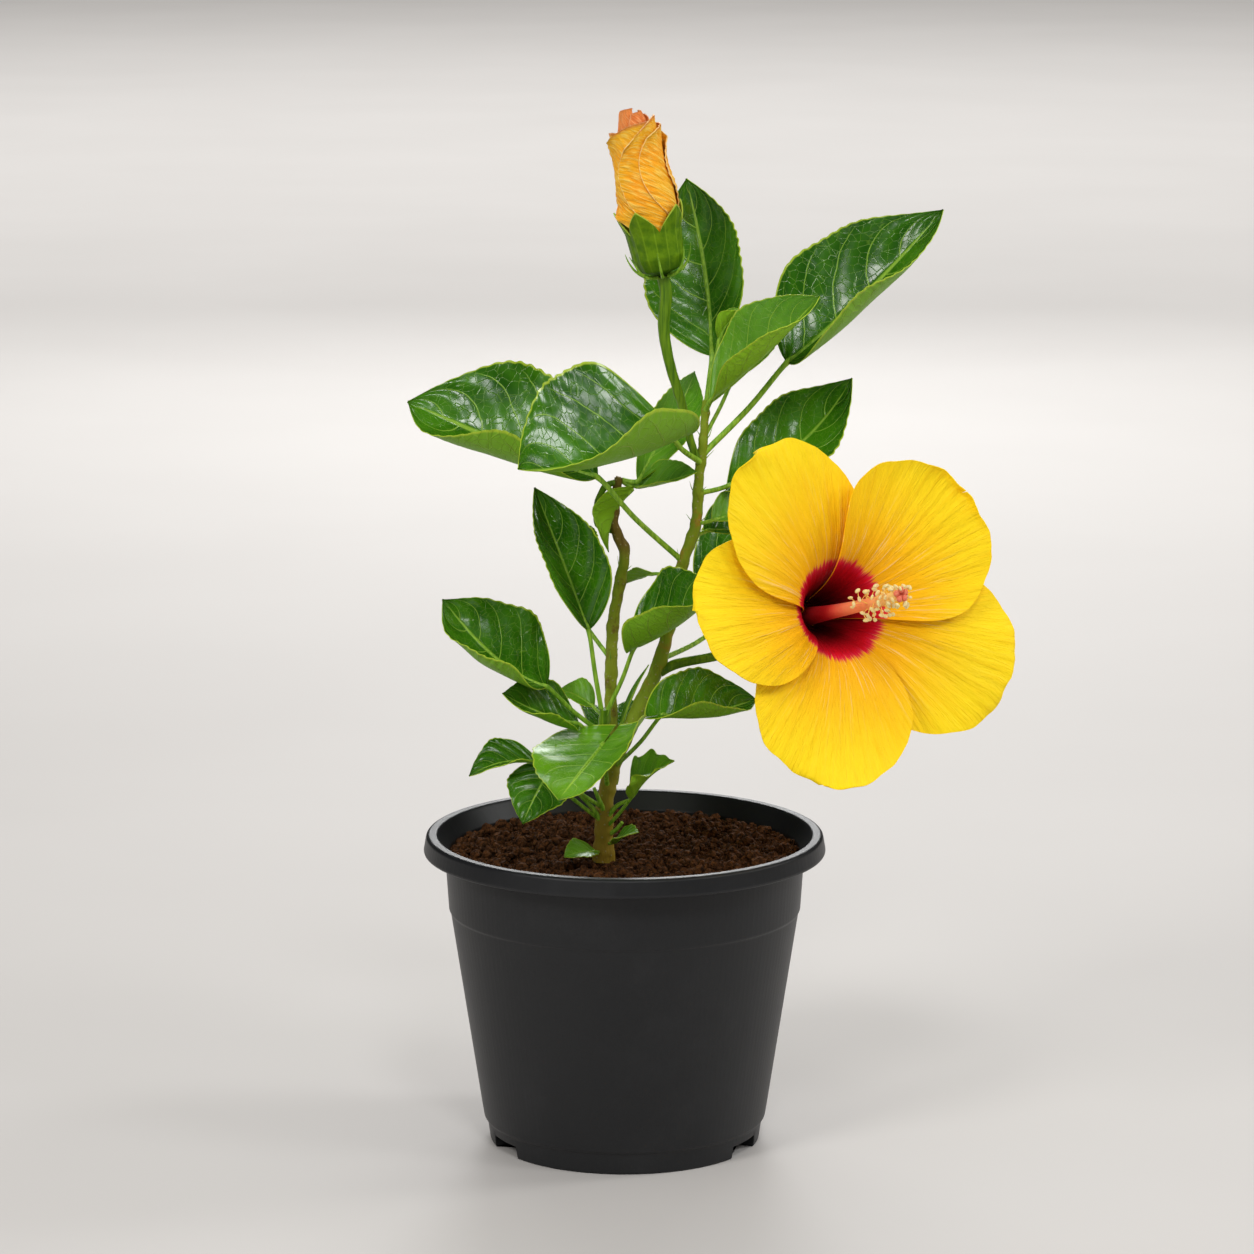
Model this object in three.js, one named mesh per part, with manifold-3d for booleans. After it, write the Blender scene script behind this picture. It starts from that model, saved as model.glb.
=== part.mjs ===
// Hibiscus shrub in its nursery pot, in millimetres, +Z up.
// The origin is the middle of the pot's flat underside. The flower faces the front, which is -Y.

import * as THREE from 'three';
import { mergeVertices } from 'three/addons/utils/BufferGeometryUtils.js';
import Module from 'manifold-3d';

const wasm = await Module();
wasm.setup();

// Driving dimensions

const CLEAR = 0.3; // gap between pieces that touch

const POT = {
  rimRadius: 85, lipRadius: 86.3, lipHeight: 7.5, height: 135, wall: 1.9,
  neckRadius: 77.2, shoulderRadius: 75.6, shoulderHeight: 102.5,
  heelRadius: 61.7, heelHeight: 15.5, ringRadius: 59.5, ringHeight: 9,
  footRadius: 58.3, floor: 3.2, cornerRadius: 46, cornerHeight: 8,
};
const DRAIN = { azimuths: [28, 152, 208, 332], width: 20, height: 5.5, from: 48, to: 66 };
const SOIL = { level: 127, radius: 75.2, clump: 1.6, rings: 7 };

const FLOWER = {
  place: [74.5, -22, 233], yaw: 28, lift: 15,
  claw: 6, throat: 42, throatSlope: 10, flare: 4.5, rim: 78,
  widest: 41, overlap: 3, overlapSlope: 5, thickness: 0.9, frill: 1.6, waves: 6,
};

// Petals, going round from the upper right: reach from the flower's axis and half width.
// A tilted petal lies over one neighbour and under the other; a bowed one lies over both, or under both.
const PETALS = [
  { azimuth: 37, reach: 72, half: 36.5, tilt: 0, bow: 1.4 },
  { azimuth: -27, reach: 81, half: 37, tilt: 0, bow: -1.4 },
  { azimuth: -110, reach: 75.5, half: 36, tilt: 1, bow: 0 },
  { azimuth: 176, reach: 75, half: 31.5, tilt: 1, bow: 0 },
  { azimuth: 120, reach: 78, half: 33.5, tilt: 1, bow: 0 },
];
const CALYX = { depth: 22, wall: 0.9, floor: 1.3, notch: 0.5 };
const COLUMN = {
  length: 86, foot: 3.4, tip: 1.5, rise: 1.5,
  stamens: 20, firstStamen: 44, filament: 6, anther: 1.1, stigma: 1.3, style: 4.5,
};

// The bud's outline is its radius at each height above the calyx's foot.
const BUD = {
  place: [16, -15, 376.2], lean: -11, wraps: 5, step: 0.07, turn: 1.6,
  outline: [[1.6, 3], [5, 6], [10, 8.6], [20, 9.5], [25, 11.2], [30, 12.5], [37, 12.9], [46, 12.3],
    [55, 11.5], [62, 10.8], [67, 8.6], [70, 4.6], [71, 3]],
};
const BUD_CALYX = { radius: 9, depth: 30, wall: 0.8, floor: 1.3, notch: 0.35 };

const LEAF = { thinnest: 0.5, thickness: 0.011, stalk: 1.2, stalkGrowth: 0.014, sag: 0.03, ribEnd: 0.22 };

// Limbs: points of the middle line from foot to tip, and the thickness at foot and tip

const TRUNK = {
  route: [[-9, -19, 126.9], [-8.4, -18, 151], [-6.7, -17, 161], [-4.5, -16, 170]],
  from: 7.4, to: 6.6, flare: 1.6,
};
const RIGHT_STEM = {
  route: [[-4.5, -16, 169], [5.7, -15, 192], [14.8, -14, 212.5], [24.7, -12, 255], [29.9, -11, 270.5],
    [31.3, -10, 290.5], [33.2, -9, 307.5], [34.2, -8, 323.5]],
  from: 7, to: 3,
};
const OLD_STEM = {
  route: [[-4.5, -15, 169], [-5.8, -12, 185.5], [-5.6, -9, 211.5], [-5.5, -7, 228.5], [-0.3, -5, 251],
    [0.6, -4, 260], [-4.9, -4, 267], [-3.7, -3, 280], [-2.6, -2, 289.5]],
  from: 5.6, to: 3.5,
};
const SHORT_SHOOT = { route: [[-6.5, -17, 171], [-8.5, -22, 182.5], [-8.4, -23, 194]], from: 4.6, to: 4.4 };
const SIDE_SHOOT = {
  route: [[-5, -4, 267], [-11, -5, 269.5], [-11.7, -6, 279], [-8, -4, 286], [-1, -1, 288]],
  from: 2.6, to: 2,
};
const BUD_STALK = {
  route: [[33, -9.5, 296], [29.6, -11, 301], [23.6, -14, 324], [18.6, -15, 341], [16.3, -15, 355.7]],
  from: 3.3, to: 5.2,
};
const FLOWER_BRANCH = {
  route: [[15, -14, 207.6], [20.4, -14, 211], [41, -13, 215.4], [57, -8, 221.5]],
  from: 3.8, to: 5,
};

// Leaves: the limb and height each springs from; its stalk as length, heading and rise; its blade as length,
// width, heading and rise. Headings turn from +X towards +Y, and rises are above the level, in degrees.
// roll turns the blade about its rib, fold raises both halves, curl bends the left and right half further,
// arch bows the rib, twist turns the tip, lobe sweeps the base back, and full rounds the base out.

const LEAVES = [
  { name: 'leaf_far_left', limb: RIGHT_STEM, at: 255, stalk: [54, 196, 45], blade: [86, 74, 169, 20],
    roll: -46, fold: 10, curl: [110, 12], arch: -3, twist: -26, lobe: 0.01, full: 0.88 },
  { name: 'leaf_front_left', limb: RIGHT_STEM, at: 297, stalk: [33, 241, 28], blade: [86, 86, 225, -3],
    roll: -27, fold: 23, curl: [83, 20], arch: -6, twist: -3, lobe: 0.05, full: 0.61 },
  { name: 'leaf_tall_back', limb: RIGHT_STEM, at: 318, stalk: [27, 76, 62], blade: [77, 55, 111, 67],
    roll: -48, fold: 17, curl: [34, 23], arch: -5, twist: 3, lobe: 0.02, full: 0.86 },
  { name: 'leaf_top_right', limb: RIGHT_STEM, at: 300, stalk: [54, 13, 46], blade: [91, 65, 7, 44],
    roll: 40, fold: 18, curl: [25, 73], arch: -4, twist: 8, lobe: 0.01, full: 0.67 },
  { name: 'leaf_young_top', limb: RIGHT_STEM, at: 319, stalk: [8, 290, 40], blade: [66, 43, 340, 44],
    roll: 47, fold: 29, curl: [6, 70], arch: -2, twist: 23, lobe: 0.02, full: 0.95 },
  { name: 'leaf_under_top', limb: RIGHT_STEM, at: 307, stalk: [30, 28, 60], blade: [36, 28, 55, 26],
    roll: 20, fold: 20, curl: [15, 40], arch: 2, twist: 0, lobe: 0.03, full: 0.75 },
  { name: 'leaf_curl_top', limb: RIGHT_STEM, at: 323, stalk: [27, 30, 76], blade: [18, 12, 345, 40],
    roll: 0, fold: 30, curl: [60, 60], arch: 3, twist: 0, lobe: 0.03, full: 0.75 },
  { name: 'leaf_right_back', limb: RIGHT_STEM, at: 284, stalk: [16, 15, 12], blade: [68, 45, 18, 39],
    roll: 28, fold: 12, curl: [36, 6], arch: -9, twist: -3, lobe: 0.07, full: 0.99 },
  { name: 'leaf_upright', limb: SHORT_SHOOT, at: 186, stalk: [42, 158, 80], blade: [64, 43, 147, 65],
    roll: -35, fold: 44, curl: [12, 17], arch: 0, twist: -11, lobe: 0.01, full: 0.76 },
  { name: 'leaf_mid_left', limb: SHORT_SHOOT, at: 182, stalk: [35.5, 205, 41], blade: [57, 56, 170, 39],
    roll: -28, fold: 0, curl: [82, 38], arch: -6, twist: -32, lobe: 0, full: 0.71 },
  { name: 'leaf_low_left', limb: SHORT_SHOOT, at: 179, stalk: [17, 211, 35], blade: [38, 35, 206, 25],
    roll: -39, fold: 4, curl: [83, 25], arch: -2, twist: 2, lobe: 0.03, full: 0.76 },
  { name: 'leaf_small_pale', limb: SHORT_SHOOT, at: 190, stalk: [11, 120, 16], blade: [18, 16, 146, 15],
    roll: -30, fold: 20, curl: [30, 30], arch: 2, twist: 0, lobe: 0.05, full: 0.75 },
  { name: 'leaf_mid_front', limb: SHORT_SHOOT, at: 190, stalk: [35, 336, 65.5], blade: [48, 54, 329, 35],
    roll: 39, fold: 24, curl: [3, 79], arch: -3, twist: 2, lobe: 0.1, full: 0.87 },
  { name: 'leaf_heart', limb: TRUNK, at: 158, stalk: [36, 266, 44], blade: [50, 53, 248, -16],
    roll: -2, fold: 1, curl: [69, 6], arch: 0, twist: -13, lobe: 0.35, full: 0.45 },
  { name: 'leaf_base_left', limb: TRUNK, at: 143, stalk: [47, 213, 41.5], blade: [29, 25, 201, -8],
    roll: -18, fold: 16, curl: [32, 17], arch: 3, twist: 3, lobe: 0.08, full: 0.76 },
  { name: 'leaf_dark_hang', limb: TRUNK, at: 149, stalk: [45, 234, 33.5], blade: [27, 31, 223, -53],
    roll: -8, fold: 0, curl: [2, 19], arch: 1, twist: 14, lobe: 0.08, full: 0.66 },
  { name: 'leaf_toothed', limb: TRUNK, at: 140, stalk: [26, 313, 45], blade: [25, 25, 335, 41],
    roll: 30, fold: 20, curl: [20, 40], arch: 2, twist: 0, lobe: 0.08, full: 0.75 },
  { name: 'leaf_soil_left', limb: TRUNK, at: 131, stalk: [8, 240, 8], blade: [16, 15, 218, 1],
    roll: -20, fold: 10, curl: [20, 20], arch: 1, twist: 0, lobe: 0.08, full: 0.75 },
  { name: 'leaf_soil_right', limb: TRUNK, at: 134, stalk: [9, 303, 16], blade: [15, 13, 318, 26],
    roll: 20, fold: 10, curl: [20, 20], arch: 1, twist: 0, lobe: 0.08, full: 0.75 },
  { name: 'leaf_right_mid', limb: TRUNK, at: 166, stalk: [42, 315, 43], blade: [42, 43, 20, 5],
    roll: 34, fold: 22, curl: [1, 76], arch: -4, twist: 23, lobe: 0.2, full: 0.78 },
  { name: 'leaf_slender', limb: OLD_STEM, at: 178, stalk: [8, 40, 50], blade: [28, 4, 28, 62],
    roll: 0, fold: 20, curl: [20, 20], arch: 1, twist: 0, lobe: 0, full: 0.75 },
  { name: 'leaf_behind_mid', limb: RIGHT_STEM, at: 251, stalk: [18, 130, -12], blade: [18, 12, 135, -20],
    roll: 20, fold: 10, curl: [20, 20], arch: 1, twist: 0, lobe: 0.05, full: 0.75 },
  { name: 'leaf_gap_high', limb: RIGHT_STEM, at: 271, stalk: [9, 336, 15], blade: [27, 22, 44, -3],
    roll: 30, fold: 20, curl: [20, 20], arch: 2, twist: 0, lobe: 0.05, full: 0.75 },
  { name: 'leaf_gap_low', limb: RIGHT_STEM, at: 266, stalk: [10, 46, 5], blade: [38, 30, 42, -12],
    roll: 30, fold: 20, curl: [20, 20], arch: 2, twist: 0, lobe: 0.08, full: 0.75 },
  { name: 'leaf_back_high', limb: RIGHT_STEM, at: 227, stalk: [40, 62, 11], blade: [75, 54, 45, 12],
    roll: 0, fold: 20, curl: [30, 30], arch: 6, twist: 0, lobe: 0.06, full: 0.75 },
  { name: 'leaf_back_right', limb: RIGHT_STEM, at: 213, stalk: [38, 45, 14], blade: [70, 50, 38, -6],
    roll: 10, fold: 15, curl: [25, 25], arch: 6, twist: 0, lobe: 0.08, full: 0.7 },
  { name: 'leaf_back_left', limb: OLD_STEM, at: 212, stalk: [34, 140, 45], blade: [50, 28, 84, 30],
    roll: 0, fold: 25, curl: [25, 25], arch: 4, twist: 0, lobe: 0.04, full: 0.8 },
  { name: 'leaf_back_low', limb: TRUNK, at: 150, stalk: [30, 78, 50], blade: [45, 34, 94, 8],
    roll: 0, fold: 20, curl: [30, 30], arch: 4, twist: 0, lobe: 0.1, full: 0.6 },
];

// The three pale leaves of the side shoot, which are one piece with it
const SIDE_LEAVES = [
  { limb: SIDE_SHOOT, at: 288, stalk: [7, 340, 0], blade: [64, 24, 60, 40],
    roll: 45, fold: 29, curl: [14, 13], arch: 5, twist: 25, lobe: 0, full: 0.88 },
  { limb: SIDE_SHOOT, at: 288, stalk: [7, 350, -20], blade: [30, 20, 330, 17],
    roll: 37, fold: 21, curl: [23, 41], arch: -1, twist: 9, lobe: 0.02, full: 0.77 },
  { limb: SIDE_SHOOT, at: 288, stalk: [6, 330, -30], blade: [29, 22, 218, -63],
    roll: 60, fold: 20, curl: [30, 30], arch: 4, twist: 0, lobe: 0.03, full: 0.75 },
];

const COLOURS = {
  pot: { color: 0x26282a, roughness: 0.45 }, soil: { color: 0x3a2216, roughness: 0.95 },
  bark: { color: 0x6a6a2e, roughness: 0.65 }, green: { color: 0x4c7a1e, roughness: 0.5 },
  leaf: { color: 0x1f5a12, roughness: 0.35 }, pale: { color: 0x4f8f22, roughness: 0.4 },
  petal: { color: 0xf6c218, roughness: 0.55 }, bud: { color: 0xf39a1e, roughness: 0.6 },
  column: { color: 0xe0584a, roughness: 0.5 },
};

// Solids

function solid(geometry) {
  const bare = geometry.clone();
  bare.deleteAttribute('normal');
  bare.deleteAttribute('uv');
  const merged = mergeVertices(bare, 1e-4);
  const corners = [];
  for (let i = 0; i < merged.index.count; i += 3) {
    const [a, b, c] = [0, 1, 2].map((k) => merged.index.getX(i + k));
    if (a !== b && b !== c && c !== a) corners.push(a, b, c);
  }
  return new wasm.Manifold(new wasm.Mesh({
    numProp: 3,
    vertProperties: new Float32Array(merged.attributes.position.array),
    triVerts: new Uint32Array(corners),
  }));
}

function geometryOf(body) {
  const largest = body.decompose().reduce((a, b) => (b.volume() > a.volume() ? b : a));
  const mesh = largest.simplify(0.02).getMesh();
  const geometry = new THREE.BufferGeometry();
  geometry.setAttribute('position', new THREE.BufferAttribute(new Float32Array(mesh.vertProperties), 3));
  geometry.setIndex(new THREE.BufferAttribute(new Uint32Array(mesh.triVerts), 1));
  geometry.computeVertexNormals();
  return geometry;
}

function piece(name, geometry, finish) {
  const mesh = new THREE.Mesh(geometry, new THREE.MeshStandardMaterial({ metalness: 0, ...COLOURS[finish] }));
  mesh.name = name;
  return mesh;
}

// Moves every vertex of a geometry to the point that a rule gives for it.
function reshape(geometry, rule) {
  const place = geometry.getAttribute('position');
  for (let i = 0; i < place.count; i++) {
    const point = rule(place.getX(i), place.getY(i), place.getZ(i));
    place.setXYZ(i, point.x, point.y, point.z);
  }
  geometry.computeVertexNormals();
  return geometry;
}

const radians = THREE.MathUtils.degToRad;

function direction(heading, rise) {
  const [h, r] = [radians(heading), radians(rise)];
  return new THREE.Vector3(Math.cos(h) * Math.cos(r), Math.sin(h) * Math.cos(r), Math.sin(r));
}

// Limbs

function curveThrough(route) {
  const points = route.map((p) => (p.isVector3 ? p : new THREE.Vector3(...p)));
  return new THREE.CatmullRomCurve3(points, false, 'centripetal');
}

// A tapering limb: a lathe turned to the limb's thickness, then bent along its middle line.
function limb({ route, from, to, flare = 0 }, { sides = 8, step = 7, extra = 0 } = {}) {
  const curve = curveThrough(route);
  const steps = Math.max(2, Math.round(curve.getLength() / step));
  const profile = [new THREE.Vector2(0, 0)];
  for (let i = 0; i <= steps; i++) {
    const t = i / steps;
    const radius = (from + (to - from) * t) / 2 + flare * Math.exp(-t * 8) + extra;
    profile.push(new THREE.Vector2(radius, t));
  }
  profile.push(new THREE.Vector2(0, 1));
  const frames = curve.computeFrenetFrames(steps);
  return reshape(new THREE.LatheGeometry(profile, sides), (x, y, z) => {
    const i = Math.round(y * steps);
    const middle = curve.getPointAt(y);
    return middle.addScaledVector(frames.normals[i], x).addScaledVector(frames.binormals[i], -z);
  });
}

// The middle of a limb at a height.
function middleAt(route, height) {
  const curve = curveThrough(route);
  let [low, high] = [0, 1];
  for (let i = 0; i < 24; i++) {
    const half = (low + high) / 2;
    if (curve.getPointAt(half).z < height) low = half;
    else high = half;
  }
  return curve.getPointAt(low);
}

// Leaves

// Half the blade's width at u, from 0 at the base to 1 at the tip, as a share of its greatest half width.
function outline(u, full, taper = 1.05) {
  const widest = full / (full + taper);
  return (u / widest) ** full * ((1 - u) / (1 - widest)) ** taper;
}

// A point on a leaf's middle surface, and the way the blade faces there; v runs from -1 to 1 across it.
function leafPoint(leaf, base, u, v) {
  const [length, width, heading, rise] = leaf.blade;
  const along = direction(heading, rise);
  const level = direction(heading + 90, 0);
  const roll = radians(leaf.roll + leaf.twist * (u - 0.5));
  const across = level.clone().applyAxisAngle(along, roll);
  const up = along.clone().cross(across);
  const share = outline(u, leaf.full);
  const half = Math.max(width / 2 * share, 0.3);
  const bend = radians(leaf.curl[v > 0 ? 0 : 1]) * share;
  const fold = radians(leaf.fold);
  const side = Math.abs(v);
  const flat = Math.abs(bend) < 1e-3;
  const out = flat ? side * Math.cos(fold) : (Math.sin(fold + bend * side) - Math.sin(fold)) / bend;
  const raised = flat ? side * Math.sin(fold) : (Math.cos(fold) - Math.cos(fold + bend * side)) / bend;
  const point = base.clone()
    .addScaledVector(along, length * (u - leaf.lobe * v * v * (1 - u) ** 2))
    .addScaledVector(across, Math.sign(v) * out * half)
    .addScaledVector(up, raised * half + leaf.arch * 4 * u * (1 - u));
  const turn = Math.sign(v) * (fold + bend * side);
  const face = up.clone().multiplyScalar(Math.cos(turn)).addScaledVector(across, -Math.sin(turn));
  return { point, face };
}

// A blade is a thin slab, bent to the leaf's surface, on a stalk whose end runs on as the rib.
function leafSolid(leaf) {
  const foot = middleAt(leaf.limb.route, leaf.at);
  const [reach, heading, rise] = leaf.stalk;
  const base = foot.clone().addScaledVector(direction(heading, rise), reach);
  const [length] = leaf.blade;
  const along = length > 35 ? 7 : 5;
  const across = length > 35 && Math.max(...leaf.curl) > 50 ? 6 : 4;
  const thickness = Math.max(LEAF.thinnest, length * LEAF.thickness);
  const slab = new THREE.BoxGeometry(1, 2, 1, along, across, 1);
  const blade = reshape(slab, (x, y, z) => {
    const { point, face } = leafPoint(leaf, base, x + 0.5, y);
    return point.addScaledVector(face, z * thickness);
  });
  const width = LEAF.stalk + length * LEAF.stalkGrowth;
  const middle = foot.clone().lerp(base, 0.55).add(new THREE.Vector3(0, 0, -reach * LEAF.sag));
  const rib = leafPoint(leaf, base, LEAF.ribEnd, 0).point;
  const stalk = limb({ route: [foot, middle, base, rib], from: width, to: width / 2 }, { sides: 5, step: 15 });
  return solid(blade).add(solid(stalk));
}

// Pot and soil

function pot() {
  const p = POT;
  const inner = p.wall;
  const profile = [
    [0, 0], [p.footRadius - 0.7, 0], [p.footRadius, 0.7], [p.ringRadius, p.ringHeight],
    [p.ringRadius + 1.4, p.ringHeight + 1.6], [p.heelRadius, p.heelHeight],
    [p.shoulderRadius - 0.7, p.shoulderHeight - 1], [p.shoulderRadius, p.shoulderHeight],
    [p.neckRadius, p.height - p.lipHeight - 0.6], [p.lipRadius - 0.4, p.height - p.lipHeight - 0.4],
    [p.lipRadius, p.height - p.lipHeight + 0.5], [p.rimRadius + 0.2, p.height - 0.8],
    [p.rimRadius - 0.8, p.height], [p.rimRadius - 4.2, p.height], [p.rimRadius - 5, p.height - 0.9],
    [p.neckRadius - inner, p.height - p.lipHeight],
    [p.shoulderRadius - inner, p.shoulderHeight], [p.heelRadius - inner, p.heelHeight],
    [p.heelRadius - inner - 3, p.cornerHeight], [p.cornerRadius, p.cornerHeight],
    [p.cornerRadius - 4, p.floor], [0, p.floor],
  ].map(([radius, height]) => new THREE.Vector2(radius, height));
  let body = solid(new THREE.LatheGeometry(profile, 40).rotateX(Math.PI / 2));
  for (const azimuth of DRAIN.azimuths) {
    const channel = new THREE.BoxGeometry(DRAIN.to - DRAIN.from, DRAIN.width, 2 * DRAIN.height);
    channel.translate((DRAIN.from + DRAIN.to) / 2, 0, 0).rotateZ(radians(azimuth));
    body = body.subtract(solid(channel));
  }
  return piece('pot', geometryOf(body), 'pot');
}

// Height of the soil's clumps, which die out at the pot wall and at the trunk's foot.
function clumps(x, y) {
  const [footX, footY] = TRUNK.route[0];
  const edge = 1 - (Math.hypot(x, y) / SOIL.radius) ** 6;
  const foot = 1 - Math.exp(-((Math.hypot(x - footX, y - footY) / 14) ** 4));
  const waves = Math.sin(x * 0.19 + 1) * Math.cos(y * 0.16) + 0.6 * Math.sin(x * 0.37 - y * 0.31 + 2);
  return SOIL.clump * Math.max(edge, 0) * foot * waves;
}

function soil() {
  const p = POT;
  const gap = p.wall + CLEAR;
  const profile = [
    [0, p.floor + CLEAR], [p.cornerRadius - 4.4, p.floor + CLEAR],
    [p.cornerRadius - 0.4, p.cornerHeight + CLEAR],
    [p.heelRadius - gap - 3.2, p.cornerHeight + CLEAR], [p.heelRadius - gap, p.heelHeight],
    [p.shoulderRadius - gap, p.shoulderHeight], [p.neckRadius - gap - 0.1, SOIL.level - 0.3],
  ];
  for (let i = SOIL.rings - 1; i >= 0; i--) profile.push([SOIL.radius * i / SOIL.rings, SOIL.level]);
  const points = profile.map(([radius, height]) => new THREE.Vector2(radius, height));
  const turned = new THREE.LatheGeometry(points, 32).rotateX(Math.PI / 2);
  const heaped = reshape(turned, (x, y, z) =>
    new THREE.Vector3(x, y, z > SOIL.level - 0.1 ? z - 0.4 + clumps(x, y) : z));
  return piece('soil', geometryOf(solid(heaped)), 'soil');
}

// Flower

// The petals' funnel: height above the throat floor at a distance from the flower's axis.
function funnel(radius) {
  const f = FLOWER;
  const deep = Math.exp((f.claw - 1 - radius) / f.throatSlope);
  return f.throat * (1 - deep) + f.flare * (radius / f.rim) ** 3;
}

// One petal about its own middle, which lies along +X: a narrow claw, widest past its middle, a rounded end.
function petal({ reach, half, tilt, bow }) {
  const f = FLOWER;
  const slab = new THREE.BoxGeometry(1, 2, 1, 10, 8, 1);
  return reshape(slab, (x, y, z) => {
    const along = f.claw + (reach - f.claw) * (1 + Math.sin(x * Math.PI)) / 2;
    const narrow = 1 - 0.6 * Math.exp((f.claw - along) / 5);
    const rising = Math.sin(Math.PI / 2 * Math.min(1, along / f.widest));
    const past = Math.max(0, (along - f.widest) / (reach - f.widest));
    const aside = y * half * rising * narrow * Math.max(Math.sqrt(1 - past * past), 0.05);
    const radius = Math.hypot(along, aside);
    const apart = 1 - Math.exp((f.claw - 1 - radius) / f.overlapSlope);
    const layer = f.overlap * (tilt * y + bow * y * y) * apart;
    const wave = Math.sin(f.waves * Math.atan2(aside, along) + reach);
    const frill = f.frill * (radius / reach) ** 4 * wave;
    return new THREE.Vector3(along, aside, funnel(radius) + layer + frill + z * f.thickness);
  });
}

// A cup of five pointed lobes round a bud or a flower's throat; radiusAt gives its inner radius at a height.
function calyx({ depth, wall, floor, notch }, radiusAt) {
  const steps = 5;
  const bottom = floor / depth;
  const rows = [{ level: 0, skin: wall }];
  for (let i = 0; i <= steps; i++) rows.push({ level: i / steps, skin: wall });
  for (let i = steps; i >= 0; i--) rows.push({ level: bottom + (1 - bottom) * i / steps, skin: 0 });
  rows.push({ level: bottom, skin: 0 });
  const profile = rows.map((_, k) => new THREE.Vector2(k === 0 || k === rows.length - 1 ? 0 : 1, k));
  return reshape(new THREE.LatheGeometry(profile, 20), (x, y, z) => {
    const { level, skin } = rows[Math.round(y)];
    const azimuth = Math.atan2(x, z);
    const lobe = Math.abs(((azimuth / (2 * Math.PI) * 5 + 5.5) % 1) - 0.5) * 2;
    const height = depth * level * (1 - notch * level * (1 - lobe));
    const radius = Math.hypot(x, z) * (radiusAt(height) + skin);
    return new THREE.Vector3(radius * Math.sin(azimuth), -radius * Math.cos(azimuth), height);
  });
}

// The staminal column: a slender rod with anthers on threads round its outer half, and the stigma's five pads.
function column() {
  const c = COLUMN;
  const route = [[0, 0, CALYX.floor + CLEAR], [0, 0, c.length * 0.4], [0, c.rise * 0.4, c.length * 0.75],
    [0, c.rise, c.length - 4]];
  const curve = curveThrough(route);
  let body = solid(limb({ route, from: 2 * c.foot, to: 2 * c.tip }, { sides: 8, step: 12 }));
  for (let i = 0; i < c.stamens; i++) {
    const share = i / (c.stamens - 1);
    const height = c.firstStamen + (c.length - 10 - c.firstStamen) * share;
    const from = curve.getPointAt(Math.min(1, height / (c.length - 4)));
    const out = direction(i * 137.5, 28 + 20 * share);
    const end = from.clone().addScaledVector(out, c.filament * (1.05 - 0.25 * Math.cos(i * 2.4)));
    body = body.add(solid(limb({ route: [from, end], from: 0.7, to: 0.5 }, { sides: 3, step: 9 })));
    body = body.add(solid(new THREE.OctahedronGeometry(c.anther).translate(end.x, end.y, end.z)));
  }
  const tip = curve.getPointAt(1);
  for (let i = 0; i < 5; i++) {
    const end = tip.clone().addScaledVector(direction(i * 72, 48), c.style);
    body = body.add(solid(limb({ route: [tip, end], from: 0.9, to: 0.8 }, { sides: 4, step: 9 })));
    body = body.add(solid(new THREE.OctahedronGeometry(c.stigma).translate(end.x, end.y, end.z)));
  }
  return body;
}

function flower() {
  const group = new THREE.Group();
  PETALS.forEach((shape, i) => {
    const mesh = piece(`flower_petal_${i + 1}`, petal(shape), 'petal');
    mesh.rotation.z = radians(shape.azimuth);
    group.add(mesh);
  });
  group.add(piece('flower_column', geometryOf(column()), 'column'));
  const below = FLOWER.overlap + FLOWER.thickness;
  const share = (height) => 1 - (height + below) / FLOWER.throat;
  const behind = (height) => FLOWER.claw - FLOWER.throatSlope * Math.log(share(height));
  group.add(piece('flower_calyx', calyx(CALYX, behind), 'green'));
  return group;
}

// Bud

// The bud's radius at a height, read off its outline.
function budRadius(height) {
  const next = Math.max(1, BUD.outline.findIndex(([h]) => h >= height));
  const [[h0, r0], [h1, r1]] = [BUD.outline[next - 1], BUD.outline[next]];
  return r0 + (r1 - r0) * Math.max(0, height - h0) / (h1 - h0);
}

// The petals are rolled round each other, so the radius steps at each petal's edge.
function budPetals() {
  const top = BUD.outline[BUD.outline.length - 1][0];
  const rows = [[BUD.outline[0][0], 0], ...BUD.outline, [top, 0]];
  const profile = rows.map(([height, radius]) => new THREE.Vector2(radius, height));
  return reshape(new THREE.LatheGeometry(profile, 25).rotateX(Math.PI / 2), (x, y, z) => {
    const share = (Math.atan2(y, x) - z / top * BUD.turn) / (2 * Math.PI) * BUD.wraps;
    const edge = (share % 1 + 1) % 1 - 0.5;
    const wrap = 1 + BUD.step * edge * Math.min(1, z / 20);
    return new THREE.Vector3(x * wrap, y * wrap, z);
  });
}

function bud() {
  const group = new THREE.Group();
  group.add(piece('bud_petals', budPetals(), 'bud'));
  const foot = (height) => BUD_CALYX.radius * Math.sqrt(Math.min(1, (height + 4) / 13));
  const around = (height) => Math.max(foot(height), budRadius(height) * (1 + BUD.step / 2)) + 2 * CLEAR;
  group.add(piece('bud_calyx', calyx(BUD_CALYX, around), 'green'));
  return group;
}

// Assembly

const shrub = new THREE.Group();
shrub.add(pot(), soil());

const flowerHead = flower();
const facing = direction(FLOWER.yaw - 90, FLOWER.lift);
flowerHead.quaternion.setFromRotationMatrix(new THREE.Matrix4().makeBasis(
  direction(FLOWER.yaw, 0), facing.clone().cross(direction(FLOWER.yaw, 0)), facing));
flowerHead.position.set(...FLOWER.place);
shrub.add(flowerHead);

const budHead = bud();
budHead.position.set(...BUD.place);
budHead.rotation.y = radians(BUD.lean);
shrub.add(budHead);

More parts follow.
